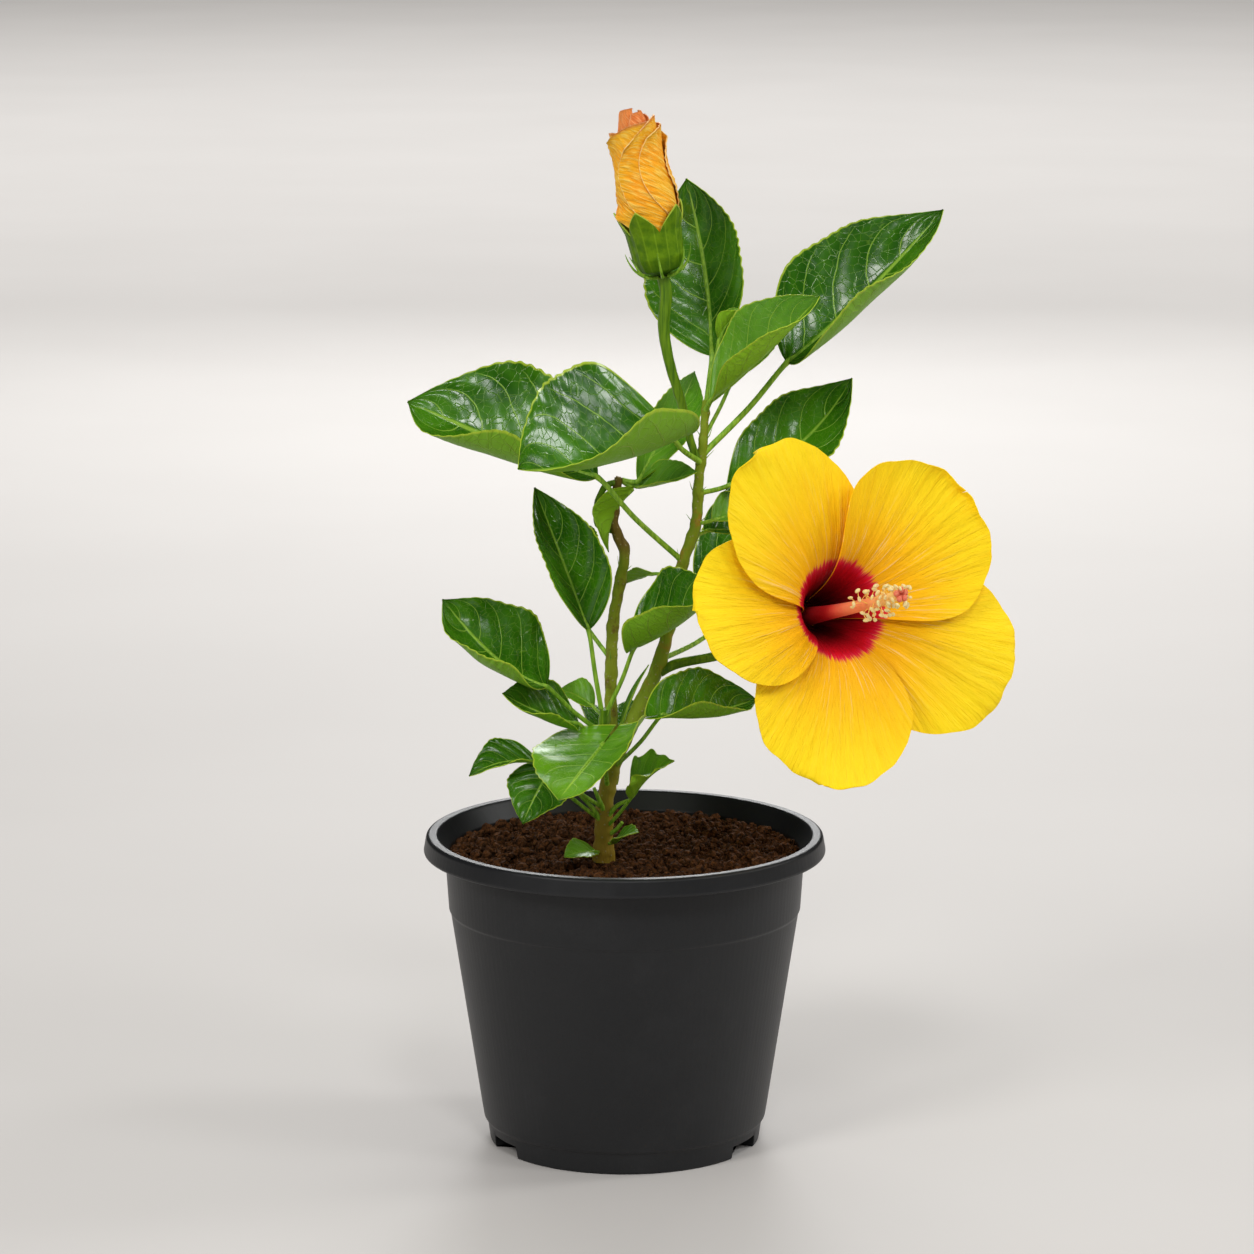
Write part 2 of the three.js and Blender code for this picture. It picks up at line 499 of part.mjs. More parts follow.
// The stalks end square behind the flower's and the bud's calyx.
const behindFlower = (distance) => flowerHead.position.clone().addScaledVector(facing, -distance);
FLOWER_BRANCH.route.push(behindFlower(6), behindFlower(CLEAR));
const budAxis = direction(180, 90 + BUD.lean);
const behindBud = (distance) => budHead.position.clone().addScaledVector(budAxis, -distance);
BUD_STALK.route.push(behindBud(7), behindBud(CLEAR));

// Each limb is cut clear of those it springs from, and each leaf's stalk is cut clear of every limb.
const LIMBS = [
  ['trunk', TRUNK, 'bark'], ['right_stem', RIGHT_STEM, 'bark'], ['old_left_stem', OLD_STEM, 'bark'],
  ['short_shoot', SHORT_SHOOT, 'green'], ['flower_branch', FLOWER_BRANCH, 'green'],
  ['bud_stalk', BUD_STALK, 'green'],
];
let around = null;
for (const [name, shape, finish] of LIMBS) {
  const body = solid(limb(shape));
  shrub.add(piece(name, geometryOf(around ? body.subtract(around) : body), finish));
  const grown = solid(limb(shape, { extra: CLEAR }));
  around = around ? around.add(grown) : grown;
}

const sideTwig = solid(limb(SIDE_SHOOT, { sides: 6 }));
const sideShoot = SIDE_LEAVES.reduce((body, leaf) => body.add(leafSolid(leaf)), sideTwig);
shrub.add(piece('side_shoot', geometryOf(sideShoot.subtract(around)), 'pale'));

for (const leaf of LEAVES) shrub.add(piece(leaf.name, geometryOf(leafSolid(leaf).subtract(around)), 'leaf'));

export default shrub;
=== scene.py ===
# %% [markdown]
# A hibiscus in a nursery pot. The plant is about 45 cm tall: a trunk that forks low, glossy toothed leaves on
# long stalks, one open yellow flower with a dark red eye, and one bud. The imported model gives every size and
# place. This scene grows finer leaves, petals and bark along the same lines, in the same space.

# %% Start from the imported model
import math
from contextlib import contextmanager

import bpy
import numpy as np
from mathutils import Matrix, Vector, noise


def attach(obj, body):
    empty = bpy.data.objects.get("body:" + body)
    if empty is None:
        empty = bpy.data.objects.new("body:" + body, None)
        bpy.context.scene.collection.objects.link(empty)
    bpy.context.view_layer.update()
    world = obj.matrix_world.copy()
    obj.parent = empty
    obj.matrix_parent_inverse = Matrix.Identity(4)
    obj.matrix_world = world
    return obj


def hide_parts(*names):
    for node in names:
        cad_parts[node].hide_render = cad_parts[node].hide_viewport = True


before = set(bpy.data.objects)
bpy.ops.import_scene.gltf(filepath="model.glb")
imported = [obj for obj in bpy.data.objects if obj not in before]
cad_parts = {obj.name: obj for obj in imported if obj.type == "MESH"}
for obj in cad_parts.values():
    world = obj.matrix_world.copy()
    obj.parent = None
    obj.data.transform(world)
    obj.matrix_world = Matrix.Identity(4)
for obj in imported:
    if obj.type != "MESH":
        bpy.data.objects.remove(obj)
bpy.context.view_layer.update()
MM = 0.001  # metres
rng = np.random.default_rng(12)

# %% [markdown]
# The camera stands two metres in front and a little above, and looks down by eleven degrees with a long lens,
# so the pot's rim shows as a narrow ellipse and the stems hardly converge.

# %% Camera
view = bpy.data.cameras.new("view")
view.lens = 137.3
view.sensor_width = 36
view.clip_end = 60
camera = bpy.data.objects.new("view", view)
camera.location = (0.001, -2.0, 0.611)
camera.rotation_euler = (math.radians(90 - 10.93), 0, 0)
bpy.context.scene.collection.objects.link(camera)
bpy.context.scene.camera = camera

# %% [markdown]
# The floor is one pale sheet. The daylight is soft and comes from five lamps around the plant. A glossy leaf
# mirrors whatever lies along its slope, so each lamp stands where one group of leaves looks: the window and
# the softbox in front, the side window and the fill on the right, and the skylight behind for the leaves that
# slope back. They are small, so that the gloss shows as patches. A sixth lamp lights only the floor far
# behind. The even sky keeps the shadows open, but no gloss mirrors it, since that would lay a haze over the
# dark greens. The plain view transform keeps the yellow of the petals, which a film-like one would wash out.

# %% Floor and light


def primitive(kind, name, **settings):
    """Adds a primitive. An operator acts on all that is selected, so nothing else is left selected."""
    bpy.ops.object.select_all(action="DESELECT")
    getattr(bpy.ops.mesh, f"primitive_{kind}_add")(**settings)
    piece = bpy.context.object
    piece.name = piece.data.name = name
    return piece


floor = primitive("plane", "floor", size=60, location=(0, 10, 0))


def lamp(name, place, aim, size, power, colour=(1, 1, 1), mirrored=True):
    """A round lamp, in metres and watts. Unless it is mirrored, it doesn't show in the gloss of things."""
    light = bpy.data.lights.new(name, "AREA")
    light.shape, light.size, light.energy, light.color = "DISK", size, power, colour
    holder = bpy.data.objects.new(name, light)
    holder.location = place
    holder.rotation_euler = (Vector(aim) - Vector(place)).to_track_quat("-Z", "Y").to_euler()
    holder.visible_camera = False
    holder.visible_glossy = mirrored
    bpy.context.scene.collection.objects.link(holder)


MIDDLE = (0.03, 0, 0.25)
lamp("window", (-1.3, -1.5, 1.6), MIDDLE, 0.7, 19, (1, 0.98, 0.95))
lamp("softbox", (0.2, -1.5, 1.75), MIDDLE, 0.4, 9.5)
lamp("side_window", (1.4, -0.8, 1.5), MIDDLE, 0.5, 6)
lamp("fill", (1.9, 0.3, 1.45), MIDDLE, 0.6, 13)
lamp("skylight", (0.05, 2.5, 1.15), MIDDLE, 0.85, 16)
lamp("backdrop", (0, 4.8, 3.6), (0, 5.2, 0), 5, 225, mirrored=False)
sky = bpy.data.worlds.new("sky")
sky.use_nodes = True
sky.node_tree.nodes["Background"].inputs["Color"].default_value = (1.0, 0.965, 0.93, 1)
sky.node_tree.nodes["Background"].inputs["Strength"].default_value = 0.5
bpy.context.scene.world = sky
sky.cycles_visibility.glossy = False
bpy.context.scene.view_settings.view_transform = "Standard"
print("lamps:", len(bpy.data.lights))

# %% [markdown]
# A finish is built from nodes. Written out, node by node, a pattern is hard to read, so a small class wraps a
# socket and lets patterns be written as sums: `1 - mask` adds a Math node and joins it up. Another class
# holds a material and adds any other node. A pattern reads Object coordinates unless it is given others.

# %% Writing patterns as sums


def sign(operation):
    """The two methods behind a sign: one for wire - other, and its reflected form for other - wire."""
    return (lambda self, other: self.maths(operation, self, other),
            lambda self, other: self.maths(operation, other, self))


class Wire:
    __add__, __radd__ = sign("ADD")
    __sub__, __rsub__ = sign("SUBTRACT")
    __mul__, __rmul__ = sign("MULTIPLY")

    def __init__(self, finish, socket):
        self.finish, self.socket = finish, socket

    def __abs__(self):
        return self.maths("ABSOLUTE", self)

    def maths(self, operation, first, second=None):
        return self.finish.node("ShaderNodeMath", {"operation": operation}, {0: first, 1: second})

    def fraction(self):
        return self.maths("FRACT", self)

    def larger(self, other):
        return self.maths("MAXIMUM", self, other)

    def over(self, limit):
        return self.maths("GREATER_THAN", self, limit)

    def step(self, low, high):
        """Rises smoothly from 0 at low to 1 at high."""
        return self.finish.node("ShaderNodeMapRange", {"interpolation_type": "SMOOTHSTEP"},
                                {"Value": self, "From Min": low, "From Max": high})


class Finish:
    def __init__(self, name, **constants):
        self.material = bpy.data.materials.new(name)
        self.material.use_nodes = True
        self.tree = self.material.node_tree
        self.shader = self.tree.nodes["Principled BSDF"]
        for socket, value in constants.items():
            self.shader.inputs[socket.replace("_", " ")].default_value = value

    def node(self, kind, settings=None, values=None, out=0):
        made = self.tree.nodes.new(kind)
        for key, value in (settings or {}).items():
            setattr(made, key, value)
        for key, value in (values or {}).items():
            if isinstance(value, Wire):
                self.tree.links.new(value.socket, made.inputs[key])
            elif value is not None:
                made.inputs[key].default_value = value
        return Wire(self, made.outputs[out])

    def place(self, kind="Object"):
        return self.node("ShaderNodeTexCoord", out=kind)

    def parts(self, vector):
        first = self.node("ShaderNodeSeparateXYZ", values={0: vector})
        return [Wire(self, socket) for socket in first.socket.node.outputs]

    def joined(self, x, y, z=0.0):
        return self.node("ShaderNodeCombineXYZ", values={0: x, 1: y, 2: z})

    def drawn_up(self, share):
        """Object coordinates that change less with height, so that a pattern runs up a piece in streaks."""
        x, y, z = self.parts(self.place())
        return self.joined(x, y, z * share)

    def noise(self, scale, detail=3.0, roughness=0.5, at=None):
        return self.node("ShaderNodeTexNoise", values={
            "Vector": at or self.place(), "Scale": scale, "Detail": detail, "Roughness": roughness})

    def cells(self, scale, feature="F1", at=None):
        return self.node("ShaderNodeTexVoronoi", {"feature": feature},
                         {"Vector": at or self.place(), "Scale": scale})

    def layers(self, colour, *coats):
        """Lays coats over a first colour, each where its mask is 1. A colour is a wire or three numbers."""
        for mask, coat in coats:
            first, second = (c if isinstance(c, Wire) else (*c, 1) for c in (colour, coat))
            colour = self.node("ShaderNodeMix", {"data_type": "RGBA"}, {0: mask, 6: first, 7: second}, out=2)
        return colour

    def wear(self, colour, roughness=None, bumps=None, depth=0.0):
        """Joins patterns to the shader, and gives the material. The bumps stand depth metres high."""
        if bumps:
            bumps = self.node("ShaderNodeBump", values={"Height": bumps, "Distance": depth, "Strength": 1.0})
        for socket, pattern in {"Base Color": colour, "Roughness": roughness, "Normal": bumps}.items():
            if pattern:
                self.tree.links.new(pattern.socket, self.shader.inputs[socket])
        print("finish:", self.material.name, "with", len(self.tree.nodes), "nodes")
        return self.material


# %% [markdown]
# The floor gets a faint mottling, so that it reads as a matt painted surface and not as empty space.

# %% Floor finish
paint = Finish("pale_floor", Roughness=0.7)
pale = paint.layers((0.51, 0.495, 0.48), (paint.noise(3.0), (0.55, 0.535, 0.52)))
floor.data.materials.append(paint.wear(pale))

# %% [markdown]
# Leaves. The upper face is dark and glossy, pale along its veins, and quilted: it bulges between the side
# veins, and each bulge is painted lighter, a painted highlight on its crown. The blade's UV map runs from base
# to tip and from edge to edge, so the veins are drawn in it: a rib along the middle, side veins that slant
# forwards, and a fine net between them. The lower face is lighter and duller, with raised veins.

# %% Leaf finishes
VEIN_PAIRS = 4.8
VEIN_STAGGER = 0.45
MARGIN = (0.42, 0.56, 0.035)


def vein_count(u, side):
    """How many side veins lie before a point. They slant forwards, the more so towards the edge."""
    return (u - side * 0.16 - side * side * 0.26) * VEIN_PAIRS


def leaf_veins(finish):
    """Gives how far a point is from the rib, how near to a side vein, and masks of the veins and the net."""
    u, v, _ = finish.parts(finish.place("UV"))
    aside = abs(v - 0.5) * 2
    wander = finish.noise(70.0, 2.0) * 0.05
    beat = (vein_count(u + wander, aside) + v.over(0.5) * VEIN_STAGGER).fraction()
    near = abs(beat - 0.5) * 2
    side = near.step(0.94, 0.99) * (1 - aside.step(0.78, 0.97)) * 0.85
    rib = (1 - aside.step(0.012, 0.05)) * (1 - u.step(0.86, 0.99))
    net = 1 - finish.cells(16.0, "DISTANCE_TO_EDGE", finish.joined(u * 1.6, v)).step(0.0, 0.05)
    return aside, near, side.larger(rib), net


def leaf_face(name, deep, fresh, vein, roughness, quilting):
    finish = Finish(name, Specular_IOR_Level=0.5)
    aside, near, veins, net = leaf_veins(finish)
    patches = finish.noise(38.0, 5.0, 0.6)
    # Between the side veins, where the quilt bulges up, the colour turns towards fresh: a painted highlight.
    green = finish.layers(deep, (patches.step(0.36, 0.68), fresh), ((1 - near).step(0.2, 1.0) * 0.3, fresh),
                          (net * 0.2, vein), (veins * 0.85, vein), (aside.step(0.962, 0.985) * 0.9, MARGIN))
    puckers = finish.noise(75.0, 2.0, 0.45)
    quilt = veins * 0.12 - near.step(0.0, 1.0) * quilting - net * 0.06 + puckers * 0.9
    return finish.wear(green, puckers * 0.2 + roughness, quilt, 0.0011)


def leaf_back(name, plain, vein):
    finish = Finish(name, Specular_IOR_Level=0.2)
    aside, near, veins, net = leaf_veins(finish)
    green = finish.layers(plain, (finish.noise(60.0), [c * 1.3 for c in plain]),
                          ((veins * 0.8).larger(net * 0.3), vein), (aside.step(0.955, 0.985) * 0.8, MARGIN))
    return finish.wear(green, finish.noise(120.0) * 0.15 + 0.42, veins * 0.8 + net * 0.3 + near * 0.3, 0.0007)


DARK_LEAF = (
    leaf_face("leaf_face", (0.016, 0.095, 0.0012), (0.055, 0.21, 0.003), (0.3, 0.52, 0.05), 0.14, 0.42),
    leaf_back("leaf_back", (0.14, 0.31, 0.01), (0.33, 0.52, 0.06)),
)
YOUNG_LEAF = (
    leaf_face("young_leaf_face", (0.065, 0.235, 0.002), (0.14, 0.37, 0.006), (0.36, 0.6, 0.05), 0.28, 0.15),
    leaf_back("young_leaf_back", (0.21, 0.43, 0.012), (0.42, 0.62, 0.08)),
)

# %% [markdown]
# Stalks, bark and shoots. Green parts are smooth with fine lengthwise streaks. The bark is olive and brown,
# ribbed along the stem and freckled with small pale pores. The trunk is browner towards the soil, and the
# old stem towards its dry end.

# %% Stem finishes


def stalk_finish(name, light, dark):
    finish = Finish(name, Specular_IOR_Level=0.25)
    streaks = finish.noise(900.0, at=finish.drawn_up(0.08))
    colour = finish.layers(light, (streaks.step(0.3, 0.7), dark))
    return finish.wear(colour, streaks * 0.15 + 0.35, streaks, 0.0002)


def bark_finish(name, green, brown, from_height, to_height):
    """Green bark that turns brown in patches, and wholly between two heights in metres."""
    finish = Finish(name, Specular_IOR_Level=0.2)
    height = finish.parts(finish.place())[2]
    ribs = finish.noise(620.0, 5.0, 0.65, at=finish.drawn_up(0.22))
    patches = finish.noise(120.0, 4.0, 0.7)
    pores = 1 - finish.cells(420.0).step(0.1, 0.24)
    aged = patches.step(0.5, 0.72).larger(height.step(from_height, to_height) * 0.85)
    skin = finish.layers(green, (aged, brown), (ribs.step(0.55, 0.75) * 0.5, [c * 0.35 for c in brown]),
                         (pores * 0.45, (0.42, 0.36, 0.2)))
    return finish.wear(skin, ribs * 0.2 + 0.45, ribs * 0.7 + patches * 0.5 + pores * 0.3, 0.0006)


STALK = stalk_finish("leaf_stalk", (0.31, 0.52, 0.045), (0.13, 0.3, 0.015))
SHOOT = stalk_finish("green_shoot", (0.15, 0.28, 0.008), (0.06, 0.15, 0.004))
BARK = bark_finish("bark", (0.2, 0.28, 0.014), (0.33, 0.2, 0.02), 0.19, 0.14)
OLD_BARK = bark_finish("old_bark", (0.24, 0.29, 0.018), (0.15, 0.08, 0.018), 0.253, 0.262)
CUT_WOOD = stalk_finish("cut_wood", (0.5, 0.4, 0.22), (0.3, 0.2, 0.1))

# %% [markdown]
# Every thin part starts as a grid that a rule bends to its place: leaf blades, petals and calyces as sheets,
# stems rolled up into tubes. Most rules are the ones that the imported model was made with, read at many more
# points, and with teeth, waves and wrinkles added.

# %% Sheets and tubes


def sheet(name, along, across):
    """A flat grid from -1 to 1 each way, with its own UV map."""
    return primitive("grid", name, x_subdivisions=along, y_subdivisions=across, size=2)


def reshape(piece, rule):
    """Moves every vertex to the point in millimetres that a rule gives for its x and y."""
    flat = np.empty(len(piece.data.vertices) * 3)
    piece.data.vertices.foreach_get("co", flat)
    x, y, _ = flat.reshape(-1, 3).T
    piece.data.vertices.foreach_set("co", (np.asarray(rule(x, y)) * MM).ravel())
    piece.data.update()


def lay_out(piece, rule):
    """Gives a flat grid the UV place that a rule works out from each corner's x and y."""
    corners = [piece.data.vertices[loop.vertex_index].co for loop in piece.data.loops]
    u, v = rule(*np.array(corners).T[:2])
    piece.data.uv_layers.active.data.foreach_set("uv", np.stack([u, v], 1).ravel())


@contextmanager
def editing(piece):
    """Edit mode with all of a piece selected, for the lines inside the with block."""
    bpy.context.view_layer.objects.active = piece
    bpy.ops.object.mode_set(mode="EDIT")
    bpy.ops.mesh.select_all(action="SELECT")
    yield
    bpy.ops.mesh.select_all(action="DESELECT")
    bpy.ops.object.mode_set(mode="OBJECT")


def close_up(piece, caps=True):
    """Joins the two edges where a sheet was rolled up, and caps its open ends."""
    with editing(piece):
        bpy.ops.mesh.remove_doubles(threshold=0.002 * MM)
        if caps:
            bpy.ops.mesh.fill_holes(sides=0)


def modify(piece, kind, **settings):
    """Adds a modifier with its settings, and applies it."""
    modifier = piece.modifiers.new(kind, kind)
    for key, value in settings.items():
        setattr(modifier, key, value)
    bpy.context.view_layer.objects.active = piece
    bpy.ops.object.modifier_apply(modifier=modifier.name)


def dress(piece, *materials, thickness=0.0, angle=60):
    """Gives a piece its materials, and a sheet its thickness, with the second material on its back."""
    for material in materials:
        piece.data.materials.append(material)
    if thickness:
        last = len(materials) - 1
        modify(piece, "SOLIDIFY", thickness=thickness * MM, offset=-1, material_offset=last,
               material_offset_rim=last)
    bpy.ops.object.shade_smooth_by_angle(angle=math.radians(angle))
    return piece


def unite(name, pieces):
    bpy.ops.object.select_all(action="DESELECT")
    for piece in pieces:
        piece.select_set(True)
    bpy.context.view_layer.objects.active = pieces[0]
    bpy.ops.object.join()
    pieces[0].name = pieces[0].data.name = name
    return pieces[0]


def settle(piece, slot, *nodes):
    """Puts a finished piece on the plant's one body, and hides the imported nodes that it replaces."""
    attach(piece, "root")
    if nodes:
        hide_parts(*nodes)
    print(piece.name, "with", len(piece.data.polygons), "faces")


def through(route, spacing=1.0):
    """Evenly spaced points, in millimetres, on the smooth line through a route."""
    p = np.array(route, float)
    p = np.vstack([2 * p[0] - p[1], p, 2 * p[-1] - p[-2]])
    knots = np.concatenate([[0], np.cumsum(np.linalg.norm(np.diff(p, axis=0), axis=1) ** 0.5)])
    line = []
    for i in range(1, len(p) - 2):
        t0, t1, t2, t3 = knots[i - 1:i + 3]
        t = np.linspace(t1, t2, 30, endpoint=i == len(p) - 3)[:, None]
        a = p[i - 1] + (p[i] - p[i - 1]) * (t - t0) / (t1 - t0)
        b = p[i] + (p[i + 1] - p[i]) * (t - t1) / (t2 - t1)
        c = p[i + 1] + (p[i + 2] - p[i + 1]) * (t - t2) / (t3 - t2)
        d = a + (b - a) * (t - t0) / (t2 - t0)
        e = b + (c - b) * (t - t1) / (t3 - t1)
        line.append(d + (e - d) * (t - t1) / (t2 - t1))
    line = np.vstack(line)
    reach = np.concatenate([[0], np.cumsum(np.linalg.norm(np.diff(line, axis=0), axis=1))])
    marks = np.linspace(0, reach[-1], max(3, int(reach[-1] / spacing) + 1))
    return np.stack([np.interp(marks, reach, line[:, k]) for k in range(3)], 1)


def tube(name, route, radius, material, sides=14, spacing=1.2):
    """A closed tube round the smooth line through a route. radius(share, turn) is in millimetres."""
    line = through(route, spacing)
    ahead = np.gradient(line, axis=0)
    ahead /= np.linalg.norm(ahead, axis=1)[:, None]
    side = np.cross(ahead[0], (0, 0, 1) if abs(ahead[0][2]) < 0.9 else (1, 0, 0))
    normals = []
    for step in ahead:
        side = side - step * side.dot(step)
        side = side / np.linalg.norm(side)
        normals.append(side)
    normal = np.array(normals)
    other = np.cross(ahead, normal)
    piece = sheet(name, len(line) - 1, sides)

    def rule(x, y):
        row = np.rint((x + 1) / 2 * (len(line) - 1)).astype(int)
        turn = -(y + 1) * np.pi
        size = radius(row / (len(line) - 1), turn)[:, None]
        return line[row] + size * (np.cos(turn)[:, None] * normal[row] + np.sin(turn)[:, None] * other[row])

    reshape(piece, rule)
    close_up(piece)
    return dress(piece, material)


def taper(start, end):
    return lambda share, turn: start + (end - start) * share


# %% [markdown]
# Limbs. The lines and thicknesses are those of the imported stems, so every leaf stalk meets its limb. Living
# stems are never smooth cones: they swell at each joint where a leaf stands or has fallen, and wander a
# little in thickness. A displacement with cloud noise gives the bark its low relief.

# %% Routes of the stems
TRUNK = [(-9, -19, 126.9), (-8.4, -18, 151), (-6.7, -17, 161), (-4.5, -16, 170)]
RIGHT_STEM = [(-4.5, -16, 169), (5.7, -15, 192), (14.8, -14, 212.5), (24.7, -12, 255), (29.9, -11, 270.5),
              (31.3, -10, 290.5), (33.2, -9, 307.5), (34.2, -8, 323.5)]
OLD_STEM = [(-4.5, -15, 169), (-5.8, -12, 185.5), (-5.6, -9, 211.5), (-4.8, -7, 228.5), (-1.2, -5, 249),
            (0, -4, 258), (-2.6, -4, 264.5), (-4.6, -4, 270), (-3.7, -3, 280), (-2.6, -2, 289.5)]
SHORT_SHOOT = [(-6.5, -17, 171), (-8.5, -22, 182.5), (-8.4, -23, 194)]
SIDE_SHOOT = [(-5, -4, 267), (-11, -5, 269.5), (-11.7, -6, 279), (-8, -4, 286), (-1, -1, 288)]
BUD_STALK = [(33, -9.5, 296), (29.6, -11, 301), (23.6, -14, 324), (18.6, -15, 341), (16.3, -15, 355.7)]
FLOWER_BRANCH = [(15, -14, 207.6), (20.4, -14, 211), (41, -13, 215.4), (57, -8, 221.5)]
LIMBS = {"trunk": TRUNK, "right": RIGHT_STEM, "old": OLD_STEM, "short": SHORT_SHOOT, "side": SIDE_SHOOT}


def direction(heading, rise):
    h, r = math.radians(heading), math.radians(rise)
    return np.array([math.cos(h) * math.cos(r), math.sin(h) * math.cos(r), math.sin(r)])


def middle_at(route, height):
    line = through(route, 0.5)
    return line[np.argmax(line[:, 2] >= min(height, line[-1, 2]))]


# %% [markdown]
# The leaves, one line each: the limb and height it springs from, its stalk as length, heading and rise, its
# blade as length, width, heading and rise, and the blade's pose: roll, fold, the curl of each half, arch,
# twist, lobe and fullness. A leaf turns its face to the light by rolling about its rib, and as it ages its
# halves curl and its tip twists.

# %% Leaf measures
LEAVES = {
    "far_left": ("right", 255, (54, 196, 45), (86, 74, 169, 20), (-46, 10, (110, 12), -3, -26, 0.01, 0.88)),
    "front_left": ("right", 297, (33, 241, 28), (86, 86, 225, -3), (-27, 23, (83, 20), -6, -3, 0.05, 0.61)),
    "tall_back": ("right", 318, (27, 76, 62), (77, 55, 111, 67), (-48, 17, (34, 23), -5, 3, 0.02, 0.86)),
    "top_right": ("right", 300, (54, 13, 46), (91, 65, 7, 44), (40, 18, (25, 73), -4, 8, 0.01, 0.67)),
    "young_top": ("right", 319, (8, 290, 40), (66, 43, 340, 44), (47, 29, (6, 70), -2, 23, 0.02, 0.95)),
    "under_top": ("right", 307, (30, 28, 60), (36, 28, 55, 26), (20, 20, (15, 40), 2, 0, 0.03, 0.75)),
    "curl_top": ("right", 323, (27, 30, 76), (18, 12, 345, 40), (0, 30, (60, 60), 3, 0, 0.03, 0.75)),
    "right_back": ("right", 284, (16, 15, 12), (68, 45, 18, 39), (28, 12, (36, 6), -9, -3, 0.07, 0.99)),
    "upright": ("short", 186, (42, 158, 80), (64, 43, 147, 65), (-35, 44, (12, 17), 0, -11, 0.01, 0.76)),
    "mid_left": ("short", 182, (35.5, 205, 41), (57, 56, 170, 39), (-28, 0, (82, 38), -6, -32, 0, 0.71)),
    "low_left": ("short", 179, (17, 211, 35), (38, 35, 206, 25), (-39, 4, (83, 25), -2, 2, 0.03, 0.76)),
    "small_pale": ("short", 190, (11, 120, 16), (18, 16, 146, 15), (-30, 20, (30, 30), 2, 0, 0.05, 0.75)),
    "mid_front": ("short", 190, (35, 336, 65.5), (48, 54, 329, 35), (39, 24, (3, 79), -3, 2, 0.1, 0.87)),
    "heart": ("trunk", 158, (36, 266, 44), (50, 53, 248, -16), (-2, 1, (69, 6), 0, -13, 0.35, 0.45)),
    "base_left": ("trunk", 143, (47, 213, 41.5), (29, 25, 201, -8), (-18, 16, (32, 17), 3, 3, 0.08, 0.76)),
    "dark_hang": ("trunk", 149, (45, 234, 33.5), (27, 31, 223, -53), (-8, 0, (2, 19), 1, 14, 0.08, 0.66)),
    "toothed": ("trunk", 140, (26, 313, 45), (25, 25, 335, 41), (30, 20, (20, 40), 2, 0, 0.08, 0.75)),
    "soil_left": ("trunk", 131, (8, 240, 8), (16, 15, 218, 1), (-20, 10, (20, 20), 1, 0, 0.08, 0.75)),
    "soil_right": ("trunk", 134, (9, 303, 16), (15, 13, 318, 26), (20, 10, (20, 20), 1, 0, 0.08, 0.75)),
    "right_mid": ("trunk", 166, (42, 315, 43), (42, 43, 20, 5), (34, 22, (1, 76), -4, 23, 0.2, 0.78)),
    "slender": ("old", 178, (8, 40, 50), (28, 4, 28, 62), (0, 20, (20, 20), 1, 0, 0, 0.75)),
    "behind_mid": ("right", 251, (18, 130, -12), (18, 12, 135, -20), (20, 10, (20, 20), 1, 0, 0.05, 0.75)),
    "gap_high": ("right", 271, (9, 336, 15), (27, 22, 44, -3), (30, 20, (20, 20), 2, 0, 0.05, 0.75)),
    "gap_low": ("right", 266, (10, 46, 5), (38, 30, 42, -12), (30, 20, (20, 20), 2, 0, 0.08, 0.75)),
    "back_high": ("right", 227, (40, 62, 11), (75, 54, 45, 12), (0, 20, (30, 30), 6, 0, 0.06, 0.75)),
    "back_right": ("right", 213, (38, 45, 14), (70, 50, 38, -6), (10, 15, (25, 25), 6, 0, 0.08, 0.7)),
    "back_left": ("old", 212, (34, 140, 45), (50, 28, 84, 30), (0, 25, (25, 25), 4, 0, 0.04, 0.8)),
    "back_low": ("trunk", 150, (30, 78, 50), (45, 34, 94, 8), (0, 20, (30, 30), 4, 0, 0.1, 0.6)),
    "side_back": ("side", 288, (7, 340, 0), (64, 24, 60, 40), (45, 29, (14, 13), 5, 25, 0, 0.88)),
    "side_front": ("side", 288, (7, 350, -20), (30, 20, 330, 17), (37, 21, (23, 41), -1, 9, 0.02, 0.77)),
    "side_hang": ("side", 288, (6, 330, -30), (29, 22, 218, -63), (60, 20, (30, 30), 4, 0, 0.03, 0.75)),
}
YOUNG = {"young_top", "under_top", "curl_top", "heart", "small_pale", "toothed", "soil_left", "soil_right",
         "slender", "behind_mid", "gap_high", "side_back", "side_front", "side_hang"}
COARSE = {"toothed": (3, 0.5), "soil_right": (4, 0.2), "slender": (0, 0)}  # teeth a side, and their depth
print("leaves:", len(LEAVES), "of which young:", len(YOUNG))

# %% [markdown]
# The leaf rule. Along the rib, u runs from 0 to 1; across, v runs from -1 to 1. The outline rises fast from
# the base and falls slowly to a drawn-out tip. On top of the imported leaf's shape the edge gets its teeth,
# which point forwards and fade out near the base, the halves ripple, and the side veins sink a little. Two
# young leaves by the soil have a few large teeth instead, and the narrow strap of a leaf has none.

# %% Leaf rule
FIRST_TOOTH = 0.22


def outline(u, full, drawn_out=1.05):
    """The blade's width along its rib, as a share of the widest."""
    widest = full / (full + drawn_out)
    return (u / widest) ** full * ((1 - u) / (1 - widest)) ** drawn_out


def toothed(u, side, teeth, depth, seed):
    """How much wider or narrower the teeth make the blade."""
    beat = ((u - FIRST_TOOTH) / 0.76 * teeth + 0.2 * np.sin(seed + 9 * u)) % 1.0
    bite = np.sin(np.pi * beat ** 1.7) * np.clip((u - FIRST_TOOTH) * 5, 0, 1) * np.clip((1 - u) * 9, 0.2, 1)
    return 1 + (bite - 0.45) * depth * side ** 7


